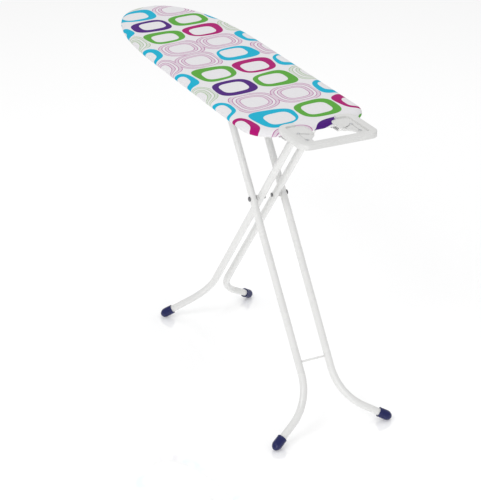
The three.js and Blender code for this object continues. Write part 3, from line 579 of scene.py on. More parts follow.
def print_nodes(writer, shader, _place):
    """The whole print: cells, a seeded shape for each, its ink, the weave, and a slight rumple."""
    cloth = writer.node("ShaderNodeAttribute", attribute_name="cloth").outputs["Vector"]
    split = writer.node("ShaderNodeSeparateXYZ")
    writer.feed(split.inputs[0], cloth)
    x, y = split.outputs[0], split.outputs[1]
    drawn = writer.math("MULTIPLY_ADD", writer.math("MULTIPLY", x, x), STRETCH, x)
    sheared = writer.math("MULTIPLY_ADD", y, ROW_SHEAR, drawn)
    across = writer.math("DIVIDE", writer.math("SUBTRACT", y, FIRST_ROW_Y), CELL[1])
    from_column = writer.math("DIVIDE", writer.math("SUBTRACT", sheared, COLUMN_X), CELL[0])
    along = writer.math("ADD", from_column, 0.5)
    row, column = writer.math("FLOOR", across), writer.math("FLOOR", along)
    past_tail = writer.math("GREATER_THAN", column, LAST_COLUMN + 0.5)
    middle_x = writer.math("MULTIPLY_ADD", past_tail, TAIL_SHIFT, 0.5)
    local_x = writer.math("SUBTRACT", writer.math("FRACT", along), middle_x)
    local_y = writer.math("SUBTRACT", writer.math("FRACT", across), 0.5)

    cell = writer.node("ShaderNodeCombineXYZ")
    writer.feed(cell.inputs[0], column)
    writer.feed(cell.inputs[1], row)
    draw = writer.node("ShaderNodeTexWhiteNoise", noise_dimensions="3D")
    writer.feed(draw.inputs["Vector"], cell.outputs[0])
    random = writer.node("ShaderNodeSeparateXYZ")
    writer.feed(random.inputs[0], draw.outputs["Color"])
    swing = [writer.math("SUBTRACT", value, 0.5) for value in random.outputs]

    lean = writer.math("MULTIPLY_ADD", writer.math("MULTIPLY", local_y, swing[2]), LEAN, 1.0)
    shape_x = writer.math("MULTIPLY", local_x, lean)
    spread = writer.math("MULTIPLY_ADD", writer.math("MULTIPLY", local_x, swing[0]), SPREAD, 1.0)
    shape_y = writer.math("MULTIPLY", local_y, spread)
    outer = rounded_distance(writer, shape_x, shape_y, *RING_EDGE)
    shift = [writer.math("MULTIPLY", value, HOLE_SHIFT) for value in swing[:2]]
    inner = rounded_distance(writer, local_x, local_y, *HOLE_EDGE, shift)
    ring_out = writer.between(outer, 1.0, 1.0 + INK_EDGE, 1.0, 0.0)
    ring_in = writer.between(inner, 1.0 - INK_EDGE, 1.0)
    ring = writer.math("MULTIPLY", ring_out, ring_in)

    wide = rounded_distance(writer, shape_x, local_y, *THIN_EDGE)
    outline = None
    for high, low in THIN_PAIRS:
        inside = writer.between(wide, high, high + LINE_EDGE, 1.0, 0.0)
        outside = writer.between(wide, low - LINE_EDGE, low)
        tint = writer.math("MULTIPLY", writer.math("MULTIPLY", inside, outside), PAIR_TINT)
        outline = tint if outline is None else writer.math("MAXIMUM", outline, tint)
        for radius in (high, low):
            offset = writer.math("ABSOLUTE", writer.math("SUBTRACT", wide, radius))
            line = writer.between(offset, LINE_HALF, LINE_HALF + LINE_EDGE, 1.0, 0.0)
            outline = writer.math("MAXIMUM", outline, line)

    place = writer.math("DIVIDE", writer.math("ADD", column, COLUMNS_BEFORE + 0.5), len(EDGE_ROW))
    rows = (EDGE_ROW, LEFT_ROW, RIGHT_ROW)
    edge, left, right = (row_of_inks(writer, names, place) for names in rows)
    is_left = writer.math("COMPARE", row, LEFT, 0.1)
    is_right = writer.math("COMPARE", row, RIGHT, 0.1)
    ink = writer.mix(is_right, writer.mix(is_left, edge["Color"], left["Color"]), right["Color"])
    solid_left = writer.math("MULTIPLY", left["Alpha"], is_left)
    solid_right = writer.math("MULTIPLY", right["Alpha"], is_right)
    middle = writer.math("ADD", is_left, is_right)
    at_edge = writer.math("MULTIPLY", edge["Alpha"], writer.math("SUBTRACT", 1.0, middle))
    thick = writer.math("ADD", writer.math("ADD", solid_left, solid_right), at_edge)
    thin = writer.math("MULTIPLY", outline, writer.math("SUBTRACT", 1.0, thick))
    cover_by_ink = writer.math("MAXIMUM", writer.math("MULTIPLY", ring, thick), thin)

    weave = use_group(writer, "plain_weave", Vector=cloth, Threads=THREADS_PER_M)
    printed = writer.mix(cover_by_ink, GROUND, ink)
    toned = writer.vector("SCALE", printed)
    writer.feed(toned.node.inputs["Scale"], weave["Shade"])
    writer.feed(shader.inputs["Base Color"], toned)
    rumple = writer.noise(cloth, 22.0, 3.0)
    height = writer.math("MULTIPLY_ADD", rumple, 6.0, weave["Height"])
    bump(writer, shader, height, 0.25, 0.0003)


printed_cotton = surface(
    "printed_cotton", GROUND[:3], 0.85, print_nodes, Sheen_Weight=0.05, Specular_IOR_Level=0.12
)


FELT_DARK, FELT_LIGHT = (0.50, 0.48, 0.43, 1), (0.66, 0.64, 0.59, 1)


def felt_nodes(writer, shader, place):
    """Fine fibres: a noise that shades the felt and lifts its surface."""
    fibres = writer.noise(place, 700.0, 6.0)
    tone = writer.between(fibres, 0.3, 0.7)
    writer.feed(shader.inputs["Base Color"], writer.mix(tone, FELT_DARK, FELT_LIGHT))
    bump(writer, shader, fibres, 0.6, 0.001)


felt = surface("felt", (0.62, 0.6, 0.55), 0.95, felt_nodes, Sheen_Weight=0.4)
stitch_thread = surface("stitch_thread", (0.72, 0.72, 0.73), 0.7, felt_nodes)

# %% [markdown]
# ## The board's outline
#
# Seen from above, the board is straight along its sides, its tail corners are arcs, and its nose is a blunt
# superellipse. The outline is worked out densely once and then spread at even steps along its length. All
# the layers of the board are insets of this one line, so it is a function of inset.

# %% Outline
cover_low, cover_high = (np.array(corner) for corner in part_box("cover"))
NOSE_X, TAIL_X, HALF_WIDTH = cover_low[0], cover_high[0], cover_high[1]
TOP_Z, HEM_Z = cover_high[2], cover_low[2]
NOSE_TAPER, NOSE_POWER, NOSE_ROUND, TAIL_RADIUS = 0.490, 2.27, 2.41, 0.093


def outline(count):
    """(points, outward normals, curvature share) at even steps round the board, from the nose tip."""
    turn = np.linspace(0, np.pi / 2, 400)
    along = 1 - np.cos(turn)
    nose = np.column_stack([
        NOSE_X + along * NOSE_TAPER,
        HALF_WIDTH * (1 - (1 - along) ** NOSE_POWER) ** (1 / NOSE_ROUND),
    ])
    tail = np.column_stack([
        TAIL_X - TAIL_RADIUS + TAIL_RADIUS * np.sin(turn),
        HALF_WIDTH - TAIL_RADIUS + TAIL_RADIUS * np.cos(turn),
    ])
    side = np.vstack([nose, tail])
    ring = np.vstack([side, side[::-1] * (1, -1)])
    length = np.concatenate([[0], np.cumsum(np.linalg.norm(np.diff(ring, axis=0), axis=1))])
    at = np.linspace(0, length[-1], count, endpoint=False)
    points = np.column_stack([np.interp(at, length, ring[:, axis]) for axis in (0, 1)])
    direction = unit(np.roll(points, -1, 0) - np.roll(points, 1, 0))
    normals = np.column_stack([-direction[:, 1], direction[:, 0]])
    bend = np.linalg.norm(np.roll(normals, -1, 0) - np.roll(normals, 1, 0), axis=1)
    bend = np.convolve(np.tile(bend, 3), np.ones(9) / 9, "same")[count:2 * count]
    return points, normals, bend / bend.max(), length[-1]


def inset_ring(count, inset):
    """The outline drawn in by a distance along its normals."""
    points, normals, _, _ = outline(count)
    return points - normals * inset


*_, ring_length = outline(400)
print("outline length", round(ring_length, 3), "m")

# %% [markdown]
# ## Cover and pad
#
# A cover is a cotton sheet with a drawstring in its hem. On the board it is smooth on top, rolls over the
# edge of the pad and gathers underneath, most of all where the outline turns. Its cross section is a list
# of stations from the middle of the board to the hem, each with an inset and a height. The gathers are
# waves along the edge that grow from nothing at the widest point of the roll to full depth at the hem.

# %% Cover
ROLL = 0.026
HEM_INSET = 0.038
HEM_BEAD = 0.0022
SPINE = (NOSE_X + 0.24, TAIL_X - 0.15)
AROUND, TOP_ROWS, ROLL_ROWS = 1100, 8, 18
SWAY, GATHER, SAG, CLOTH_THICKNESS = 2.2 * MM, 3.4 * MM, 1.2 * MM, 0.9 * MM
FINE_WAVES, BROAD_WAVES = (0.013, 0.017, 0.023, 0.031), (0.05, 0.083, 0.12)
seeded = np.random.default_rng(7)


def waves_along(count, length, wavelengths, rng):
    """A sum of sines with whole numbers of waves round the ring, and seeded phases, from -1 to 1."""
    at = np.linspace(0, 2 * np.pi, count, endpoint=False)
    total = np.zeros(count)
    for wavelength in wavelengths:
        total += np.sin(round(length / wavelength) * at + rng.uniform(0, 2 * np.pi))
    return total / len(wavelengths)


def cover_grid():
    """Points of the cover's middle surface and their flat cloth coordinates."""
    points, normals, bend, length = outline(AROUND)
    half, middle = (TOP_Z - HEM_Z) / 2, (TOP_Z + HEM_Z) / 2
    turn = np.linspace(0, np.pi, ROLL_ROWS + 1)[1:]
    roll = np.column_stack([ROLL * (1 - np.sin(turn)), middle + half * np.cos(turn)])
    under = np.column_stack([np.linspace(ROLL + 0.003, HEM_INSET, 4), np.full(4, HEM_Z)])
    curl = np.linspace(0, 1.6 * np.pi, 9)[1:]
    bead = np.column_stack([
        HEM_INSET + HEM_BEAD * np.sin(curl), HEM_Z + HEM_BEAD * (1 - np.cos(curl)),
    ])
    station = np.vstack([[ROLL, TOP_Z], roll, under, bead])
    run = np.concatenate([[0], np.cumsum(np.linalg.norm(np.diff(station, axis=0), axis=1))])

    depth = np.clip((station[:, 0] * np.sign(middle - station[:, 1])) / HEM_INSET, 0, 1) ** 1.3
    depth[-len(bead):] = 1
    fine = waves_along(AROUND, length, FINE_WAVES, seeded)
    broad = waves_along(AROUND, length, BROAD_WAVES, seeded)
    gather = (0.35 + 0.65 * np.sqrt(bend)) * fine + 0.4 * broad
    inset = station[:, :1] + depth[:, None] * SWAY * broad[None]
    drop = depth[:, None] * (GATHER * gather[None] + SAG)
    ring = points[None] - normals[None] * inset[..., None]
    edge = np.dstack([ring, station[:, 1:] - drop])
    cloth_edge = points[None] - normals[None] * (ROLL - run[:, None, None])

    share = np.linspace(0, 1, TOP_ROWS + 1)[:-1, None]
    start = points - normals * ROLL
    spine = np.column_stack([np.clip(start[:, 0], *SPINE), np.zeros(AROUND)])
    inner = spine[None] + share[..., None] * (start - spine)[None]
    top = np.dstack([inner, np.full(inner.shape[:2], TOP_Z)])
    cloth = np.vstack([inner.reshape(-1, 2), cloth_edge.reshape(-1, 2)])
    return np.vstack([top, edge]), np.column_stack([cloth, np.zeros(len(cloth))]), cloth_edge[-1]


cover_points, cloth_places, cut_line = cover_grid()
cover = piece(
    "board_cover", [grid_shell(cover_points, ends=False)], printed_cotton, "board",
    ["cover"], attribute=cloth_places,
)
cloth_thickness = cover.modifiers.new("cloth_thickness", "SOLIDIFY")
cloth_thickness.thickness = CLOTH_THICKNESS
cloth_thickness.offset = -1

# %% [markdown]
# The hem is closed by a row of stitches that follows the bead. Each stitch is a short bar with pointed
# ends, and all of them are one array: a unit stitch turned and moved to every place along the ring.

# %% Hem stitching
STITCH_PITCH, STITCH_LENGTH, STITCH_RADIUS = 4.8 * MM, 3.4 * MM, 0.32 * MM
STITCHED_ROW = TOP_ROWS + 1 + ROLL_ROWS + 2


def hem_stitches():
    """Points and faces of every stitch: place + along*step + thickness*(out cos + down sin)."""
    _, normals, _, length = outline(AROUND)
    count = int(length / STITCH_PITCH)
    pick = (np.arange(count) * AROUND / count).astype(int)
    row = cover_points[STITCHED_ROW]
    base = row[pick]
    along = unit(np.roll(row, -1, 0) - np.roll(row, 1, 0))[pick]
    out = np.column_stack([normals[pick], np.zeros(count)])
    down = np.array([0, 0, -1.0])
    steps = np.array([(-0.5, 0.0), (-0.3, 1.0), (0.3, 1.0), (0.5, 0.0)])
    turn = np.linspace(0, 2 * np.pi, 6, endpoint=False)
    reach = (steps[:, 0] * STITCH_LENGTH)[None, :, None, None]
    thick = (steps[:, 1] * STITCH_RADIUS)[None, :, None, None]
    spoke = np.cos(turn)[:, None] * out[:, None, None] + np.sin(turn)[:, None] * down
    bar = base[:, None, None] + reach * along[:, None, None] + thick * spoke
    bar = bar + down * STITCH_RADIUS * 0.8
    _, one_stitch = grid_shell(bar[0], ends=False)
    block = len(steps) * len(turn)
    all_faces = (np.array(one_stitch)[None] + block * np.arange(count)[:, None, None]).reshape(-1, 4)
    return bar.reshape(-1, 3), all_faces.tolist()


piece("hem_stitching", [hem_stitches()], stitch_thread, "board")

# %% [markdown]
# The pad is felt under the cotton, and it only shows as softness at the board's edge. It could be a
# simulated cushion, but a grid is enough here: the cover's own roll, drawn in by the cloth, which then
# turns in below the edge and lies on the deck.

# %% Pad
PAD_AROUND, PAD_INSET, OVER_DECK = 360, 1.6 * MM, 0.3 * MM
PAST_DECK = 16.8 * MM


def pad_grid():
    """A pillow under the cover: the same roll, drawn in by the cloth, flat where it lies on the deck."""
    deck_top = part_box("deck_plate")[1].z + OVER_DECK
    half, middle = (TOP_Z - HEM_Z) / 2 - PAD_INSET, (TOP_Z + HEM_Z) / 2
    turn = np.linspace(0, np.pi / 2, 10)
    across = PAD_INSET + (ROLL - PAD_INSET) * (1 - np.sin(turn))
    roll = np.column_stack([across, middle + half * np.cos(turn)])
    foot = [
        [PAST_DECK - 0.3 * MM, middle], [PAST_DECK, middle + 1 * MM], [PAST_DECK, deck_top],
        [30 * MM, deck_top],
    ]
    stations = np.vstack([roll, foot])
    rings = [inset_ring(PAD_AROUND, inset) for inset in stations[:, 0]]
    edge = [np.column_stack([ring, np.full(PAD_AROUND, z)]) for ring, z in zip(rings, stations[:, 1])]
    spine = np.column_stack([np.clip(rings[0][:, 0], *SPINE), np.zeros(PAD_AROUND)])
    lid = np.column_stack([spine, np.full(PAD_AROUND, stations[0, 1])])
    base = np.column_stack([spine, np.full(PAD_AROUND, deck_top)])
    return np.stack([lid, *edge, base])


felt_pad = piece("felt_pad", [grid_shell(pad_grid(), ends=False)], felt, "board", ["pad"])

# %% [markdown]
# ## Steel under the board
#
# Steam has to leave the cloth, so the deck is a thin steel sheet with a field of punched holes. The sheet
# is an outline with hole loops, filled by a constrained triangulation. The rim is a channel pressed
# round the edge of the deck: its section is drawn once and carried as insets of the board's outline.

# %% Deck and rim
DECK_INSET, PRESSED_AROUND = 17 * MM, 300
HOLE = {"radius": 3.4 * MM, "pitch": 27 * MM, "sides": 12, "margin": 42 * MM}


def hole_centres():
    """Staggered rows of places that lie well inside the outline, by the sign of the distance to it."""
    rows = np.arange(-6, 7) * HOLE["pitch"] * math.sqrt(3) / 2
    columns = np.arange(NOSE_X, TAIL_X, HOLE["pitch"])
    places = np.array([(x + (i % 2) * HOLE["pitch"] / 2, y) for i, y in enumerate(rows) for x in columns])
    points, normals, _, _ = outline(400)
    gap = places[:, None] - points[None]
    nearest = np.linalg.norm(gap, axis=2).argmin(1)
    depth = -np.einsum("ij,ij->i", gap[np.arange(len(places)), nearest], normals[nearest])
    return places[depth > HOLE["margin"]]


deck_low, deck_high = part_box("deck_plate")
hole_loop = circle(HOLE["radius"], HOLE["sides"])
deck_holes = [hole_loop + centre for centre in hole_centres()]
piece(
    "deck_sheet", [plate([inset_ring(PRESSED_AROUND, DECK_INSET), *deck_holes], deck_low.z, deck_high.z)],
    powder_coat, "board", ["deck_plate"],
)
print("steam holes:", len(deck_holes))

rim_low, rim_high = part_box("rim")
RIM_SHEET, RIM_FLANGE = 1.5 * MM, 15 * MM
rim_section = soften([
    (DECK_INSET, rim_high.z), (DECK_INSET, rim_low.z), (DECK_INSET + RIM_FLANGE, rim_low.z),
    (DECK_INSET + RIM_FLANGE, rim_low.z + RIM_SHEET), (DECK_INSET + RIM_SHEET, rim_low.z + RIM_SHEET),
    (DECK_INSET + RIM_SHEET, rim_high.z),
], 1.2 * MM)
rim_grid = np.stack([
    np.column_stack([inset_ring(PRESSED_AROUND, inset), np.full(PRESSED_AROUND, z)])
    for inset, z in rim_section
])
piece(
    "rim_channel", [grid_shell(rim_grid, along=True, ends=False)], powder_coat, "board",
    ["rim"],
)

# %% [markdown]
# The cross members, rails, straps, brackets and the brake's flat parts are cut and folded from sheet. Their
# CAD shapes are right already, so each becomes a merged copy whose sharp edges are rounded a little, as
# a press leaves them.

# %% Pressed parts
for place in ("nose", "middle", "tail"):
    pressed(f"cross_member_{place}", powder_coat, "board")
for node in ("rail_right", "rail_left", "lever_bracket_tail", "lever_bracket_nose", "hinge_pin_nut"):
    pressed(node, zinc, "board")
for side in ("right", "left"):
    pressed(f"rest_strap_{side}", powder_coat, "board")
pressed("brake_strip", zinc, "lever")
pressed("brake_lining", brake_rubber, "lever", bevel=0.25 * MM)
brake_spring = pressed("brake_spring", dark_steel, "board", bevel=0.15 * MM)
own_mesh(brake_spring)

# %% [markdown]
# ## Turned hardware
#
# Rivets, pins, bars, spacers and shoes are round, so each is a profile of radius and height turned about
# its axis. The sizes come from the CAD boxes. Heads are domed with a half ellipse, and every edge has a
# small round, because a sharp turned edge looks drawn.

# %% Turned helpers
ACROSS = np.array([0, 1.0, 0])
UPWARD = np.array([0, 0, 1.0])
ALONG = np.array([1.0, 0, 0])


def middle_of(node):
    """Middle of a node's box, and its size."""
    low, high = (np.array(corner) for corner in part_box(node))
    return (low + high) / 2, high - low


def solid_profile(radius, low, high, edge=0.5 * MM):
    """A round bar's profile, from one end's middle to the other's, with rounded edges."""
    corners = [(0, low), (radius, low), (radius, high), (0, high)]
    return soften(corners, edge, closed=False)


def ring_profile(outer, inner, low, high, edge=0.4 * MM):
    """A sleeve's profile, which closes on itself."""
    return soften([(inner, low), (outer, low), (outer, high), (inner, high)], edge)


def dome(radius, base, height, steps=7):
    """A half ellipse from a head's edge to its crown."""
    turn = np.linspace(0, np.pi / 2, steps)
    return np.column_stack([radius * np.cos(turn), base + height * np.sin(turn)])


# %% Rivets of the rails
for place in ("nose", "middle", "tail"):
    for side in ("right", "left"):
        node = f"rail_rivet_{place}_{side}"
        centre, size = middle_of(node)
        half, head, shank = size[2] / 2, 4.8 * MM, 3 * MM
        profile = np.vstack([
            [(0, -half)], dome(head, -half + 1.5 * MM, -1.5 * MM)[::-1], [(shank, -half + 1.5 * MM)],
            [(shank, half - 1 * MM)], dome(head, half - 1 * MM, 1.4 * MM), [(0, half + 0.4 * MM)],
        ])
        piece(f"{node}_finished", [turned(profile, centre, UPWARD, 24)], zinc, "board", [node])

# %% Hinge pin, spacers, lever pins and inner sleeve
hinge = joint_at["leg_fold"]
pivot = joint_at["leg_cross"]
pin_low, pin_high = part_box("hinge_pin")
pin_profile = np.vstack([
    soften([(0, pin_low.y), (4.3 * MM, pin_low.y), (5 * MM, pin_low.y + 1 * MM)], 0.3 * MM, False)[:-1],
    [(5 * MM, pin_low.y + 1 * MM), (5 * MM, pin_high.y - 2.7 * MM), (8 * MM, pin_high.y - 2.7 * MM)],
    dome(8 * MM, pin_high.y - 1.6 * MM, 1.6 * MM, 9),
])
at_hinge = hinge * (1, 0, 1)
piece("hinge_pin_finished", [turned(pin_profile, at_hinge, ACROSS)], zinc, "board", ["hinge_pin"])

for side in ("right", "left"):
    low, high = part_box(f"hinge_spacer_{side}")
    piece(
        f"hinge_spacer_{side}_finished",
        [turned(ring_profile(8 * MM, 5.3 * MM, low.y, high.y), at_hinge, ACROSS, ring=True)],
        black_plastic, "board", [f"hinge_spacer_{side}"],
    )
for place in ("tail", "nose"):
    centre, size = middle_of(f"lever_pin_{place}")
    profile = solid_profile(2 * MM, -size[0] / 2, size[0] / 2, 0.4 * MM)
    piece(
        f"lever_pin_{place}_finished", [turned(profile, centre, ALONG, 20)], zinc, "board",
        [f"lever_pin_{place}"],
    )
sleeve_low, sleeve_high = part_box("inner_top_sleeve")
SLEEVE_RADIUS = 11.5 * MM
sleeve_profile = ring_profile(SLEEVE_RADIUS, 5.3 * MM, sleeve_low.y, sleeve_high.y)
piece(
    "inner_top_sleeve_finished", [turned(sleeve_profile, at_hinge, ACROSS, 48, ring=True)],
    powder_coat, "inner_leg", ["inner_top_sleeve"],
)

# %% [markdown]
# ## Legs
#
# A leg is one steel tube: a long straight, one smooth bend outward, and a short straight into the foot. Its
# centre line is drawn in the leg's own plane, with x down the leg and y across, and then turned to lie
# along the leg's slope. A tube has a wall, so its section runs down the outside and back up the inside.
# The two pairs share the slope, because the arms above the rivets are equal.

# %% Leg lines
TUBE_RADIUS, TUBE_WALL, FOOT_RADIUS = 11 * MM, 1.2 * MM, 13.5 * MM
BEND_RADIUS = 0.170
TUBE_END_TO_FOOT = 6 * MM
rise = math.atan2(hinge[2] - pivot[2], hinge[0] - pivot[0])
slide_bar = np.array([2 * pivot[0] - hinge[0], 0, hinge[2]])
foot_down_leg = (hinge[2] - FOOT_RADIUS) / math.sin(rise)
LEGS = {
    "inner": {
        "top": hinge * (1, 0, 1), "down": np.array([-math.cos(rise), 0, -math.sin(rise)]),
        "top_y": 0.025, "low_y": 0.0236, "bend_at": 0.915, "splay": math.radians(50), "start": 3 * MM,
    },
    "outer": {
        "top": slide_bar, "down": np.array([math.cos(rise), 0, -math.sin(rise)]),
        "top_y": 0.0523, "low_y": 0.0498, "bend_at": 0.922, "splay": math.radians(55), "start": -12 * MM,
    },
}


def leg_line(leg, side):
    """Centre line of a tube from its top to the foot: straight, arc, straight. side is 1 or -1."""
    lean = math.atan2(leg["low_y"] - leg["top_y"], leg["bend_at"])
    centre = np.array([
        leg["bend_at"] - BEND_RADIUS * math.sin(lean), leg["low_y"] + BEND_RADIUS * math.cos(lean),
    ])
    turn = np.linspace(lean, leg["splay"], 28)[:, None]
    arc = centre + BEND_RADIUS * np.hstack([np.sin(turn), -np.cos(turn)])
    down = np.linspace(leg["start"], leg["bend_at"], 24, endpoint=False)
    straight = np.column_stack([down, leg["top_y"] + (leg["low_y"] - leg["top_y"]) * down / leg["bend_at"]])
    run = (foot_down_leg - arc[-1, 0]) / math.cos(leg["splay"]) - TUBE_END_TO_FOOT
    reach = np.linspace(0, run, 5)[1:, None]
    last = arc[-1] + reach * (math.cos(leg["splay"]), math.sin(leg["splay"]))
    flat = np.vstack([straight, arc, last])
    return leg["top"] + flat[:, :1] * leg["down"] + flat[:, 1:] * side * ACROSS


def tube_grid(line, plane_normal):
    """Outer wall down the line, then inner wall back up it, as one closed run of rings."""
    outside = carry(circle(TUBE_RADIUS, 40), line, plane_normal)
    inside = carry(circle(TUBE_RADIUS - TUBE_WALL, 40), line, plane_normal)
    return np.vstack([outside, inside[::-1]])


# %% Tubes
def saddle(grid, leg):
    """Moves the top rings of an inner tube to fit round the sleeve: down-leg reach is the square root of
    the sleeve's radius squared less the height above the axis squared."""
    from_top = grid - leg["top"]
    down = from_top @ leg["down"]
    off_axis = from_top - down[..., None] * leg["down"]
    height = off_axis @ np.cross(leg["down"], ACROSS)
    wanted = np.sqrt(np.clip((SLEEVE_RADIUS + 0.1 * MM) ** 2 - height**2, 0, None))
    shift = np.where(down < 5 * MM, wanted - down, 0)
    return grid + shift[..., None] * leg["down"]


for kind, leg in LEGS.items():
    plane = np.cross(leg["down"], ACROSS)
    for side, name in SIDES:
        grid = tube_grid(leg_line(leg, side), plane)
        if kind == "inner":
            grid = saddle(grid, leg)
        node = f"{kind}_tube_{name}"
        piece(
            f"{node}_finished", [grid_shell(grid, along=True, ends=False)], powder_coat,
            f"{kind}_leg", [node],
        )

# %% [markdown]
# ### Feet
#
# A foot is a glossy plastic thimble pushed over the tube's end. It has a rolled lip, a straight wall, and a
# round nose that stands on the floor. A few low ribs run down its wall.

# %% Feet
FOOT_LENGTH, CAP_RADIUS, RIBS, RIB_HEIGHT = 25 * MM, 14.8 * MM, 10, 0.45 * MM


def foot_shell(line, sides=80):
    """A turned thimble whose radius swells at ribs: a cosine of the angle, raised to a narrow crest."""
    direction = unit(line[-1] - line[-2])
    turn = np.linspace(0, np.pi / 2, 16)
    nose = np.column_stack([CAP_RADIUS * np.cos(turn), (TUBE_END_TO_FOOT + FOOT_RADIUS) * np.sin(turn)])
    lip = soften([
        (TUBE_RADIUS + 0.2 * MM, -0.5 * MM), (TUBE_RADIUS + 0.2 * MM, -FOOT_LENGTH),
        (CAP_RADIUS + 0.5 * MM, -FOOT_LENGTH), (CAP_RADIUS + 0.5 * MM, -FOOT_LENGTH + 3 * MM),
        (CAP_RADIUS, -FOOT_LENGTH + 4 * MM), (CAP_RADIUS, -FOOT_LENGTH + 6 * MM),
    ], 0.8 * MM, False, 4)
    wall = np.column_stack([np.full(6, CAP_RADIUS), np.linspace(-FOOT_LENGTH + 6 * MM, -1 * MM, 6)])
    profile = np.vstack([[(0, -0.5 * MM)], lip[:-1], wall, nose[1:]])
    grid = turn_about(profile, line[-1], direction, sides)
    angle = np.linspace(0, 2 * np.pi, sides, endpoint=False)
    crest = np.clip(np.cos(angle * RIBS), 0, 1) ** 2
    reach = np.where((profile[:, 1] > -FOOT_LENGTH + 5 * MM) & (profile[:, 0] > 0.6 * CAP_RADIUS), 1.0, 0.0)
    reach[0] = 0
    height = profile[:, 1]
    reach *= np.clip((height + FOOT_LENGTH - 5 * MM) / (5 * MM), 0, 1)
    reach *= np.clip((TUBE_END_TO_FOOT + 7 * MM - height) / (7 * MM), 0, 1)
    axis_points = line[-1] + profile[:, 1:] * direction
    spoke = grid - axis_points[:, None]
    length = np.linalg.norm(spoke, axis=2, keepdims=True)
    swell = RIB_HEIGHT * reach[:, None, None] * crest[None, :, None]
    return grid_shell(grid + spoke / np.maximum(length, 1e-9) * swell, ends=False)


for kind, leg in LEGS.items():
    for side, name in SIDES:
        node = f"{kind}_foot_{name}"
        piece(
            f"{node}_finished", [foot_shell(leg_line(leg, side))], navy_plastic, f"{kind}_leg",
            [node],
        )

# %% [markdown]
# ### Top bar, shoes and cross rod
#
# The outer pair ends in a plain steel bar whose plastic shoes run inside the rails, and a thin rod low
# between its tubes keeps them apart. All are turned. Each end of the rod gets a concave bead, as a weld
# leaves, because a rod that simply stops at a tube looks pushed through it.

# %% Top bar, shoes and cross rod
bar_low, bar_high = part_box("top_bar")
piece(
    "top_bar_finished", [turned(solid_profile(6 * MM, bar_low.y, bar_high.y), slide_bar, ACROSS)],
    zinc, "outer_leg", ["top_bar"],
)
SHOE_BORE, SHOE_RADIUS = 6.2 * MM, 7.5 * MM
bore_end, mouth, end = bar_high.y + 0.3 * MM, bar_high.y - 9 * MM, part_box("slide_shoe_right")[1].y
shoe_corners = [(SHOE_BORE, bore_end), (SHOE_BORE, mouth), (SHOE_RADIUS, mouth), (SHOE_RADIUS, end)]
shoe_profile = np.vstack([
    [(0, bore_end)], soften(shoe_corners, 0.6 * MM, False), [(6.6 * MM, end), (0, end)],
])
for side, name in SIDES:
    piece(
        f"slide_shoe_{name}_finished", [turned(shoe_profile, slide_bar, side * ACROSS)], black_plastic,
        "outer_leg", [f"slide_shoe_{name}"],
    )

rod_centre, rod_size = middle_of("cross_rod")
ROD_RADIUS = 3 * MM
rod_half = rod_size[1] / 2 + 0.6 * MM


def weld_fillet(radius, at, reach):
    """A concave bead round a rod's end: a quarter arc from the rod's surface out to the tube's."""
    turn = np.linspace(0, np.pi / 2, 6)
    arc = np.column_stack([radius + reach * (1 - np.cos(turn)), at - reach * (1 - np.sin(turn))])
    return np.vstack([[(radius - 0.2 * MM, at - reach)], arc, [(radius - 0.2 * MM, at)]])


rod_shells = [turned(solid_profile(ROD_RADIUS, -rod_half, rod_half, 0.2 * MM), rod_centre, ACROSS, 32)]
bead = weld_fillet(ROD_RADIUS, rod_half, 1.6 * MM)
for side, _ in SIDES:
    rod_shells.append(turned(bead, rod_centre, side * ACROSS, 32, ring=True))
piece("cross_rod_finished", rod_shells, powder_coat, "outer_leg", ["cross_rod"])

# %% [markdown]
# ### Pivots
#
# Each pivot is one burnished rivet through an inner and an outer tube, with a plastic washer between them.
# The outer head is a low dome on a flange, and the inner one is a small peened cone.

# %% Pivots
PEEN, SHANK, HEAD, HEAD_HEIGHT = 6.8 * MM, 4 * MM, 7.6 * MM, 3.8 * MM
at_pivot = pivot * (1, 0, 1)
rivet_low, rivet_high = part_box("pivot_rivet_right")
washer_low, washer_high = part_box("pivot_washer_right")
inner_end, seat = rivet_low.y, rivet_high.y - HEAD_HEIGHT
rivet_profile = np.vstack([
    soften([(0, inner_end), (5 * MM, inner_end), (PEEN, inner_end + 1.3 * MM)], 0.8 * MM, False),
    [(PEEN, inner_end + 2.5 * MM), (SHANK, inner_end + 2.5 * MM), (SHANK, seat), (HEAD, seat)],
    dome(HEAD, seat + 1.0 * MM, 2.8 * MM, 10),
])
washer_profile = ring_profile(9 * MM, 4.3 * MM, washer_low.y, washer_high.y)
for side, name in SIDES:
    piece(
        f"pivot_rivet_{name}_finished", [turned(rivet_profile, at_pivot, side * ACROSS)], rivet_steel,
        "inner_leg", [f"pivot_rivet_{name}"],
    )
    piece(
        f"pivot_washer_{name}_finished", [turned(washer_profile, at_pivot, side * ACROSS, ring=True)],
        grey_plastic, "inner_leg", [f"pivot_washer_{name}"],
    )

# %% [markdown]
# ## Release lever and brake
#
# The lever is a bent rod with an eye at its pivot and a plastic grip under the left edge of the board. Its
# line is a few corner points made into smooth bends, and a circle is carried along it.

# %% Lever rods
lever_at = joint_at["lever_squeeze"]
ROD = 3 * MM
lever_low, lever_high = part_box("release_lever")
arm_low, arm_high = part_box("brake_arm")
grip_low, grip_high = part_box("lever_grip")
lever_x, arm_x = (lever_low.x + lever_high.x) / 2, (arm_low.x + arm_high.x) / 2


def rod_with_eye(x, corners):
    """A round rod from corner to corner with smooth bends, and a ring at its pivot."""
    line = soften([(x, y, z) for y, z in corners], 14 * MM, False, 8)
    eye = ring_profile(5 * MM, 2.3 * MM, -5 * MM, 5 * MM)
    pin = np.array([x, lever_at[1], lever_at[2]])
    return [grid_shell(carry(circle(ROD, 24), line, ALONG)), turned(eye, pin, ALONG, 28, ring=True)]


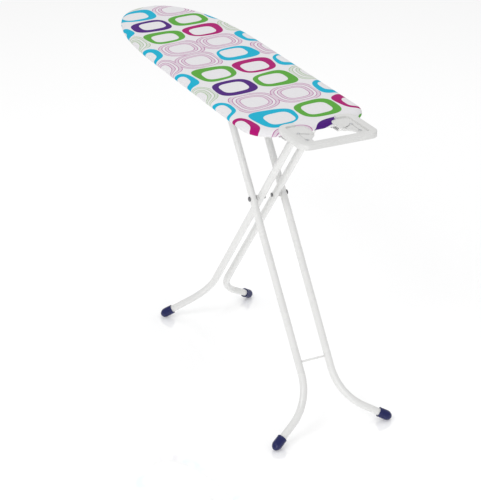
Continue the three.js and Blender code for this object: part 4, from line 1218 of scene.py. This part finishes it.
grip_axis_z = lever_low.z + ROD
piece("release_lever_finished", rod_with_eye(lever_x, [
    (lever_at[1] - 4.6 * MM, lever_at[2]), (0, lever_at[2]), (-66 * MM, lever_at[2]),
    (-94 * MM, grip_axis_z), (lever_low.y, grip_axis_z),
]), zinc, "lever", ["release_lever"])
piece("brake_arm_finished", rod_with_eye(arm_x, [
    (lever_at[1] - 4.6 * MM, lever_at[2]), (40 * MM, lever_at[2]), (arm_low.y, lever_at[2]),
]), zinc, "lever", ["brake_arm"])


# %% [markdown]
# The grip is moulded plastic. It could be a box under a subdivision surface, but superellipse sections give
# the soft oval and the closed ends in one formula, and a cosine along it makes the finger waves.

# %% Grip
CLEAR_OF_HEM = 8 * MM
OVAL, END_POWER, END_ROOT = 0.85, 8, 0.25
FINGER_DEPTH, FINGER_TURNS = 0.10, 2.5
GRIP_RINGS, GRIP_SIDES = 49, 48


def grip_grid():
    """An oval bar whose sections are superellipses, with finger waves on its underside."""
    outer_end = np.array(grip_low) + CLEAR_OF_HEM * ACROSS
    centre, half = (np.array(grip_high) + outer_end) / 2, (np.array(grip_high) - outer_end) / 2
    along = np.linspace(-1, 1, GRIP_RINGS)
    swell = (1 - np.abs(along) ** END_POWER) ** END_ROOT
    turn = np.linspace(0, 2 * np.pi, GRIP_SIDES, endpoint=False)
    across = half[0] * np.sign(np.cos(turn)) * np.abs(np.cos(turn)) ** OVAL
    high = half[2] * np.sign(np.sin(turn)) * np.abs(np.sin(turn)) ** OVAL
    wave = 1 - FINGER_DEPTH * (1 - np.cos(FINGER_TURNS * np.pi * (along + 1))) / 2
    under = np.where(high < 0, 1.0, 0.0)
    grid = np.empty((GRIP_RINGS, GRIP_SIDES, 3))
    grid[..., 0] = centre[0] + swell[:, None] * across[None]
    grid[..., 1] = centre[1] + half[1] * along[:, None]
    grid[..., 2] = centre[2] + swell[:, None] * high[None] * (1 + (wave[:, None] - 1) * under[None])
    return grid


piece(
    "lever_grip_finished", [grid_shell(grip_grid(), ends=False)], navy_plastic, "lever",
    ["lever_grip"],
)

# %% [markdown]
# ## Iron rest
#
# The rest is one plastic moulding: a raised band with a skirt runs round it, lower webs fill its two sides,
# and its middle is open. The band is a family of insets of one open line, which starts at the back by the
# board, goes round both corners and comes back. Over the board the skirt stops short of the cover.

# %% Rest band
rest_low, rest_high = (np.array(corner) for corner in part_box("iron_rest"))
strap_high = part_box("rest_strap_right")[1]
REST_CORNER = {"back": 32 * MM, "front": 28 * MM}
BAND, STEP, PLATE, SKIRT = 22 * MM, 6 * MM, 3 * MM, 3 * MM
BACK_END_Y, BACK_BAND = 66 * MM, 16 * MM
OVER_BOARD_X, CLEAR_OF_COVER = rest_low[0] + 38 * MM, TOP_Z + 1.5 * MM
web_top, web_under = rest_high[2] - STEP, rest_high[2] - STEP - PLATE


def rest_line(inset, back_inset):
    """Right back end, back corner, side, front corner, and the same mirrored: straights and arcs."""
    back_x, front_x, half = rest_low[0] + back_inset, rest_high[0] - inset, rest_high[1] - inset
    turn = np.linspace(0, np.pi / 2, 13)[:, None]
    back_r, front_r = (max(r - inset, 1 * MM) for r in REST_CORNER.values())
    sweep = np.hstack([np.cos(turn), np.sin(turn)])
    back = np.array([back_x + back_r, half - back_r]) + back_r * sweep * (-1, 1)
    front = np.array([front_x - front_r, half - front_r]) + front_r * sweep[::-1]
    start = np.column_stack([np.full(4, back_x), np.linspace(BACK_END_Y, half - back_r, 5)[:-1]])
    side = np.column_stack([np.linspace(back_x + back_r, front_x - front_r, 9)[1:-1], np.full(7, half)])
    lead = np.column_stack([np.full(5, front_x), np.linspace(half - front_r, 0, 6)[1:]])
    right = np.vstack([start, back, side, front, lead])
    return np.vstack([right, right[-2::-1] * (1, -1)])


def band_grid():
    """The band's section, an upside-down L with rounded edges, as insets and heights."""
    outer = soften([
        (0, rest_low[2]), (0, rest_high[2]), (BAND, rest_high[2]), (BAND, web_under),
        (SKIRT, web_under), (SKIRT, rest_low[2]),
    ], 2.6 * MM, steps=4)
    columns = []
    for inset, z in outer:
        line = rest_line(inset, inset * BACK_BAND / BAND)
        height = np.full(len(line), z)
        over = np.clip((OVER_BOARD_X - line[:, 0]) / (2 * MM), 0, 1)
        columns.append(np.column_stack([line, np.maximum(height, CLEAR_OF_COVER * over)]))
    return np.stack(columns, axis=1)


# %% [markdown]
# The webs are plates cut to the shape between the band and the opening, with a drain hole and screw holes.
# A low lip follows the opening, and a collar stands round each drain hole. Ribs stiffen the moulding
# from below.

# %% Rest webs
OPENING = [(-5, 66), (18, 66), (26, 44), (60, 42), (86, 45), (113, 70), (134, 72), (138, 66)]
DRAIN = (rest_low[0] + 83 * MM, 53 * MM, 4.5 * MM)
screw_at = {place: middle_of(f"rest_screw_{place}_right")[0] for place in ("back", "front")}
SCREW_X, SCREW_Y = [at[0] for at in screw_at.values()], screw_at["back"][1]
LIP = {"width": 2.2 * MM, "height": 1.5 * MM}
WEB_TUCK, WEB_FRONT_RADIUS, WEB_BACK_RADIUS = 1 * MM, 7 * MM, 11 * MM
web_back = rest_low[0] + BACK_BAND - WEB_TUCK


def opening_edge():
    """The opening's edge on the right, from the board to the front, with rounded corners."""
    points = [(rest_low[0] + x * MM, y * MM) for x, y in OPENING]
    return soften(points, 7 * MM, False, 5)


def web_loops():
    """The right web's outline, tucked a little under the band, and its holes."""
    edge = opening_edge()
    edge = edge[edge[:, 0] > web_back]
    inside = BAND - WEB_TUCK
    front_x, half = rest_high[0] - inside, rest_high[1] - inside
    front_middle = (front_x - WEB_FRONT_RADIUS, half - WEB_FRONT_RADIUS)
    back_middle = (web_back + WEB_BACK_RADIUS, half - WEB_BACK_RADIUS)
    front_corner = circle(WEB_FRONT_RADIUS, 40)[:11] + front_middle
    back_corner = circle(WEB_BACK_RADIUS, 40)[10:21] + back_middle
    start = [(web_back, BACK_END_Y + 0.5 * MM)]
    tip = [(front_x, BACK_END_Y)]
    outer = np.vstack([start, edge, tip, front_corner, back_corner])
    holes = [circle(DRAIN[2], 24) + DRAIN[:2]]
    holes += [circle(2.4 * MM, 16) + (x, SCREW_Y) for x in SCREW_X]
    return [outer, *holes]


def mirrored(shell):
    """The same shell on the other side of the centre plane."""
    points, faces = shell
    return points * (1, -1, 1), faces


def web_shells():
    """The right web's plate, the lip of its opening, and the collars of its drain and screws."""
    edge = opening_edge()
    edge = edge[edge[:, 0] > rest_low[0] + BACK_BAND]
    lip_line = np.column_stack([edge, np.full(len(edge), web_top)])
    lip_section = soften([
        (-LIP["width"], -PLATE), (0, -PLATE), (0, LIP["height"]), (-LIP["width"], LIP["height"]),
    ], 0.9 * MM)
    collar = soften([
        (DRAIN[2], web_under - 4 * MM), (DRAIN[2] + 1.6 * MM, web_under - 4 * MM),
        (DRAIN[2] + 1.6 * MM, web_top + 1.2 * MM), (DRAIN[2], web_top + 1.2 * MM),
    ], 0.7 * MM)
    right = [
        plate(web_loops(), web_under, web_top),
        grid_shell(carry(lip_section * (-1, 1), lip_line)),
        turned(collar, (DRAIN[0], DRAIN[1], 0), UPWARD, 32, ring=True),
    ]
    for x in SCREW_X:
        seat = ring_profile(6.4 * MM, 4.9 * MM, web_top - 1 * MM, web_top + 0.9 * MM)
        right.append(turned(seat, (x, SCREW_Y, 0), UPWARD, 32, ring=True))
    return right


RIB_HALF = 0.9 * MM


def ribs():
    """Upright ribs under the right web, between the strap and the skirt: thin plates across it."""
    made = []
    inner, outer = strap_high.y + 1 * MM, rest_high[1] - SKIRT - 0.3 * MM
    for x in np.linspace(OVER_BOARD_X + 14 * MM, rest_high[0] - 30 * MM, 4):
        left, right = x - RIB_HALF, x + RIB_HALF
        loop = [(left, inner), (right, inner), (right, outer), (left, outer)]
        made.append(plate([loop], rest_low[2] + 5 * MM, web_under + 0.4 * MM))
    return made


rest_shells = web_shells() + ribs()
rest_shells += [mirrored(shell) for shell in rest_shells]
piece(
    "iron_rest_finished", [grid_shell(band_grid()), *rest_shells], grey_plastic, "board",
    ["iron_rest"], bevel=0.3 * MM,
)

# %% [markdown]
# The screws have pan heads with a cross recess. The head is a disc of points in rings, lifted by a dome and
# pressed down where the angle and distance fall inside the cross.

# %% Screws
CROSS_HALF, CROSS_REACH, CROSS_DEPTH = 0.62 * MM, 2.3 * MM, 1.3 * MM
SCREW_HEAD, SCREW_SHANK, SCREW_CROWN = 4.4 * MM, 2.1 * MM, 2.2 * MM


def cross_head(radius, base, height, origin):
    """Height over the head: an ellipse less a recess with sloping walls, where the cross is the set of
    points whose smaller offset from the middle is under the arm's half width."""
    rings = np.linspace(0, 1, 22)[:, None]
    turn = np.linspace(0, 2 * np.pi, 64, endpoint=False)[None]
    x, y = radius * rings * np.cos(turn), radius * rings * np.sin(turn)
    crown = base + height * np.sqrt(np.clip(1 - (0.97 * rings) ** 4, 0, 1)) + 0 * turn
    narrow, wide = np.minimum(abs(x), abs(y)), np.maximum(abs(x), abs(y))
    arm = np.clip((CROSS_HALF - narrow) / (0.25 * MM), 0, 1)
    arm = arm * np.clip((CROSS_REACH - wide) / (0.4 * MM), 0, 1)
    top = np.dstack([x, y, crown - CROSS_DEPTH * arm])
    flange = np.dstack([x[-1:], y[-1:], np.full((1, 64), base)])
    return np.vstack([top, flange]) + np.array(origin)


for place, x in zip(("back", "front"), SCREW_X):
    for side, name in SIDES:
        node = f"rest_screw_{place}_{name}"
        low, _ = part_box(node)
        seat = web_top + 0.3 * MM
        shank = [
            (0, low.z), (1.4 * MM, low.z), (SCREW_SHANK, low.z + 1 * MM), (SCREW_SHANK, seat),
            (SCREW_HEAD - 0.1 * MM, seat),
        ]
        at = (x, side * SCREW_Y, 0)
        head = cross_head(SCREW_HEAD, seat, SCREW_CROWN, at)[::-1]
        screw = np.concatenate([turn_about(shank, at, UPWARD, 64), head])
        piece(f"{node}_finished", [grid_shell(screw, ends=False)], zinc, "board", [node])
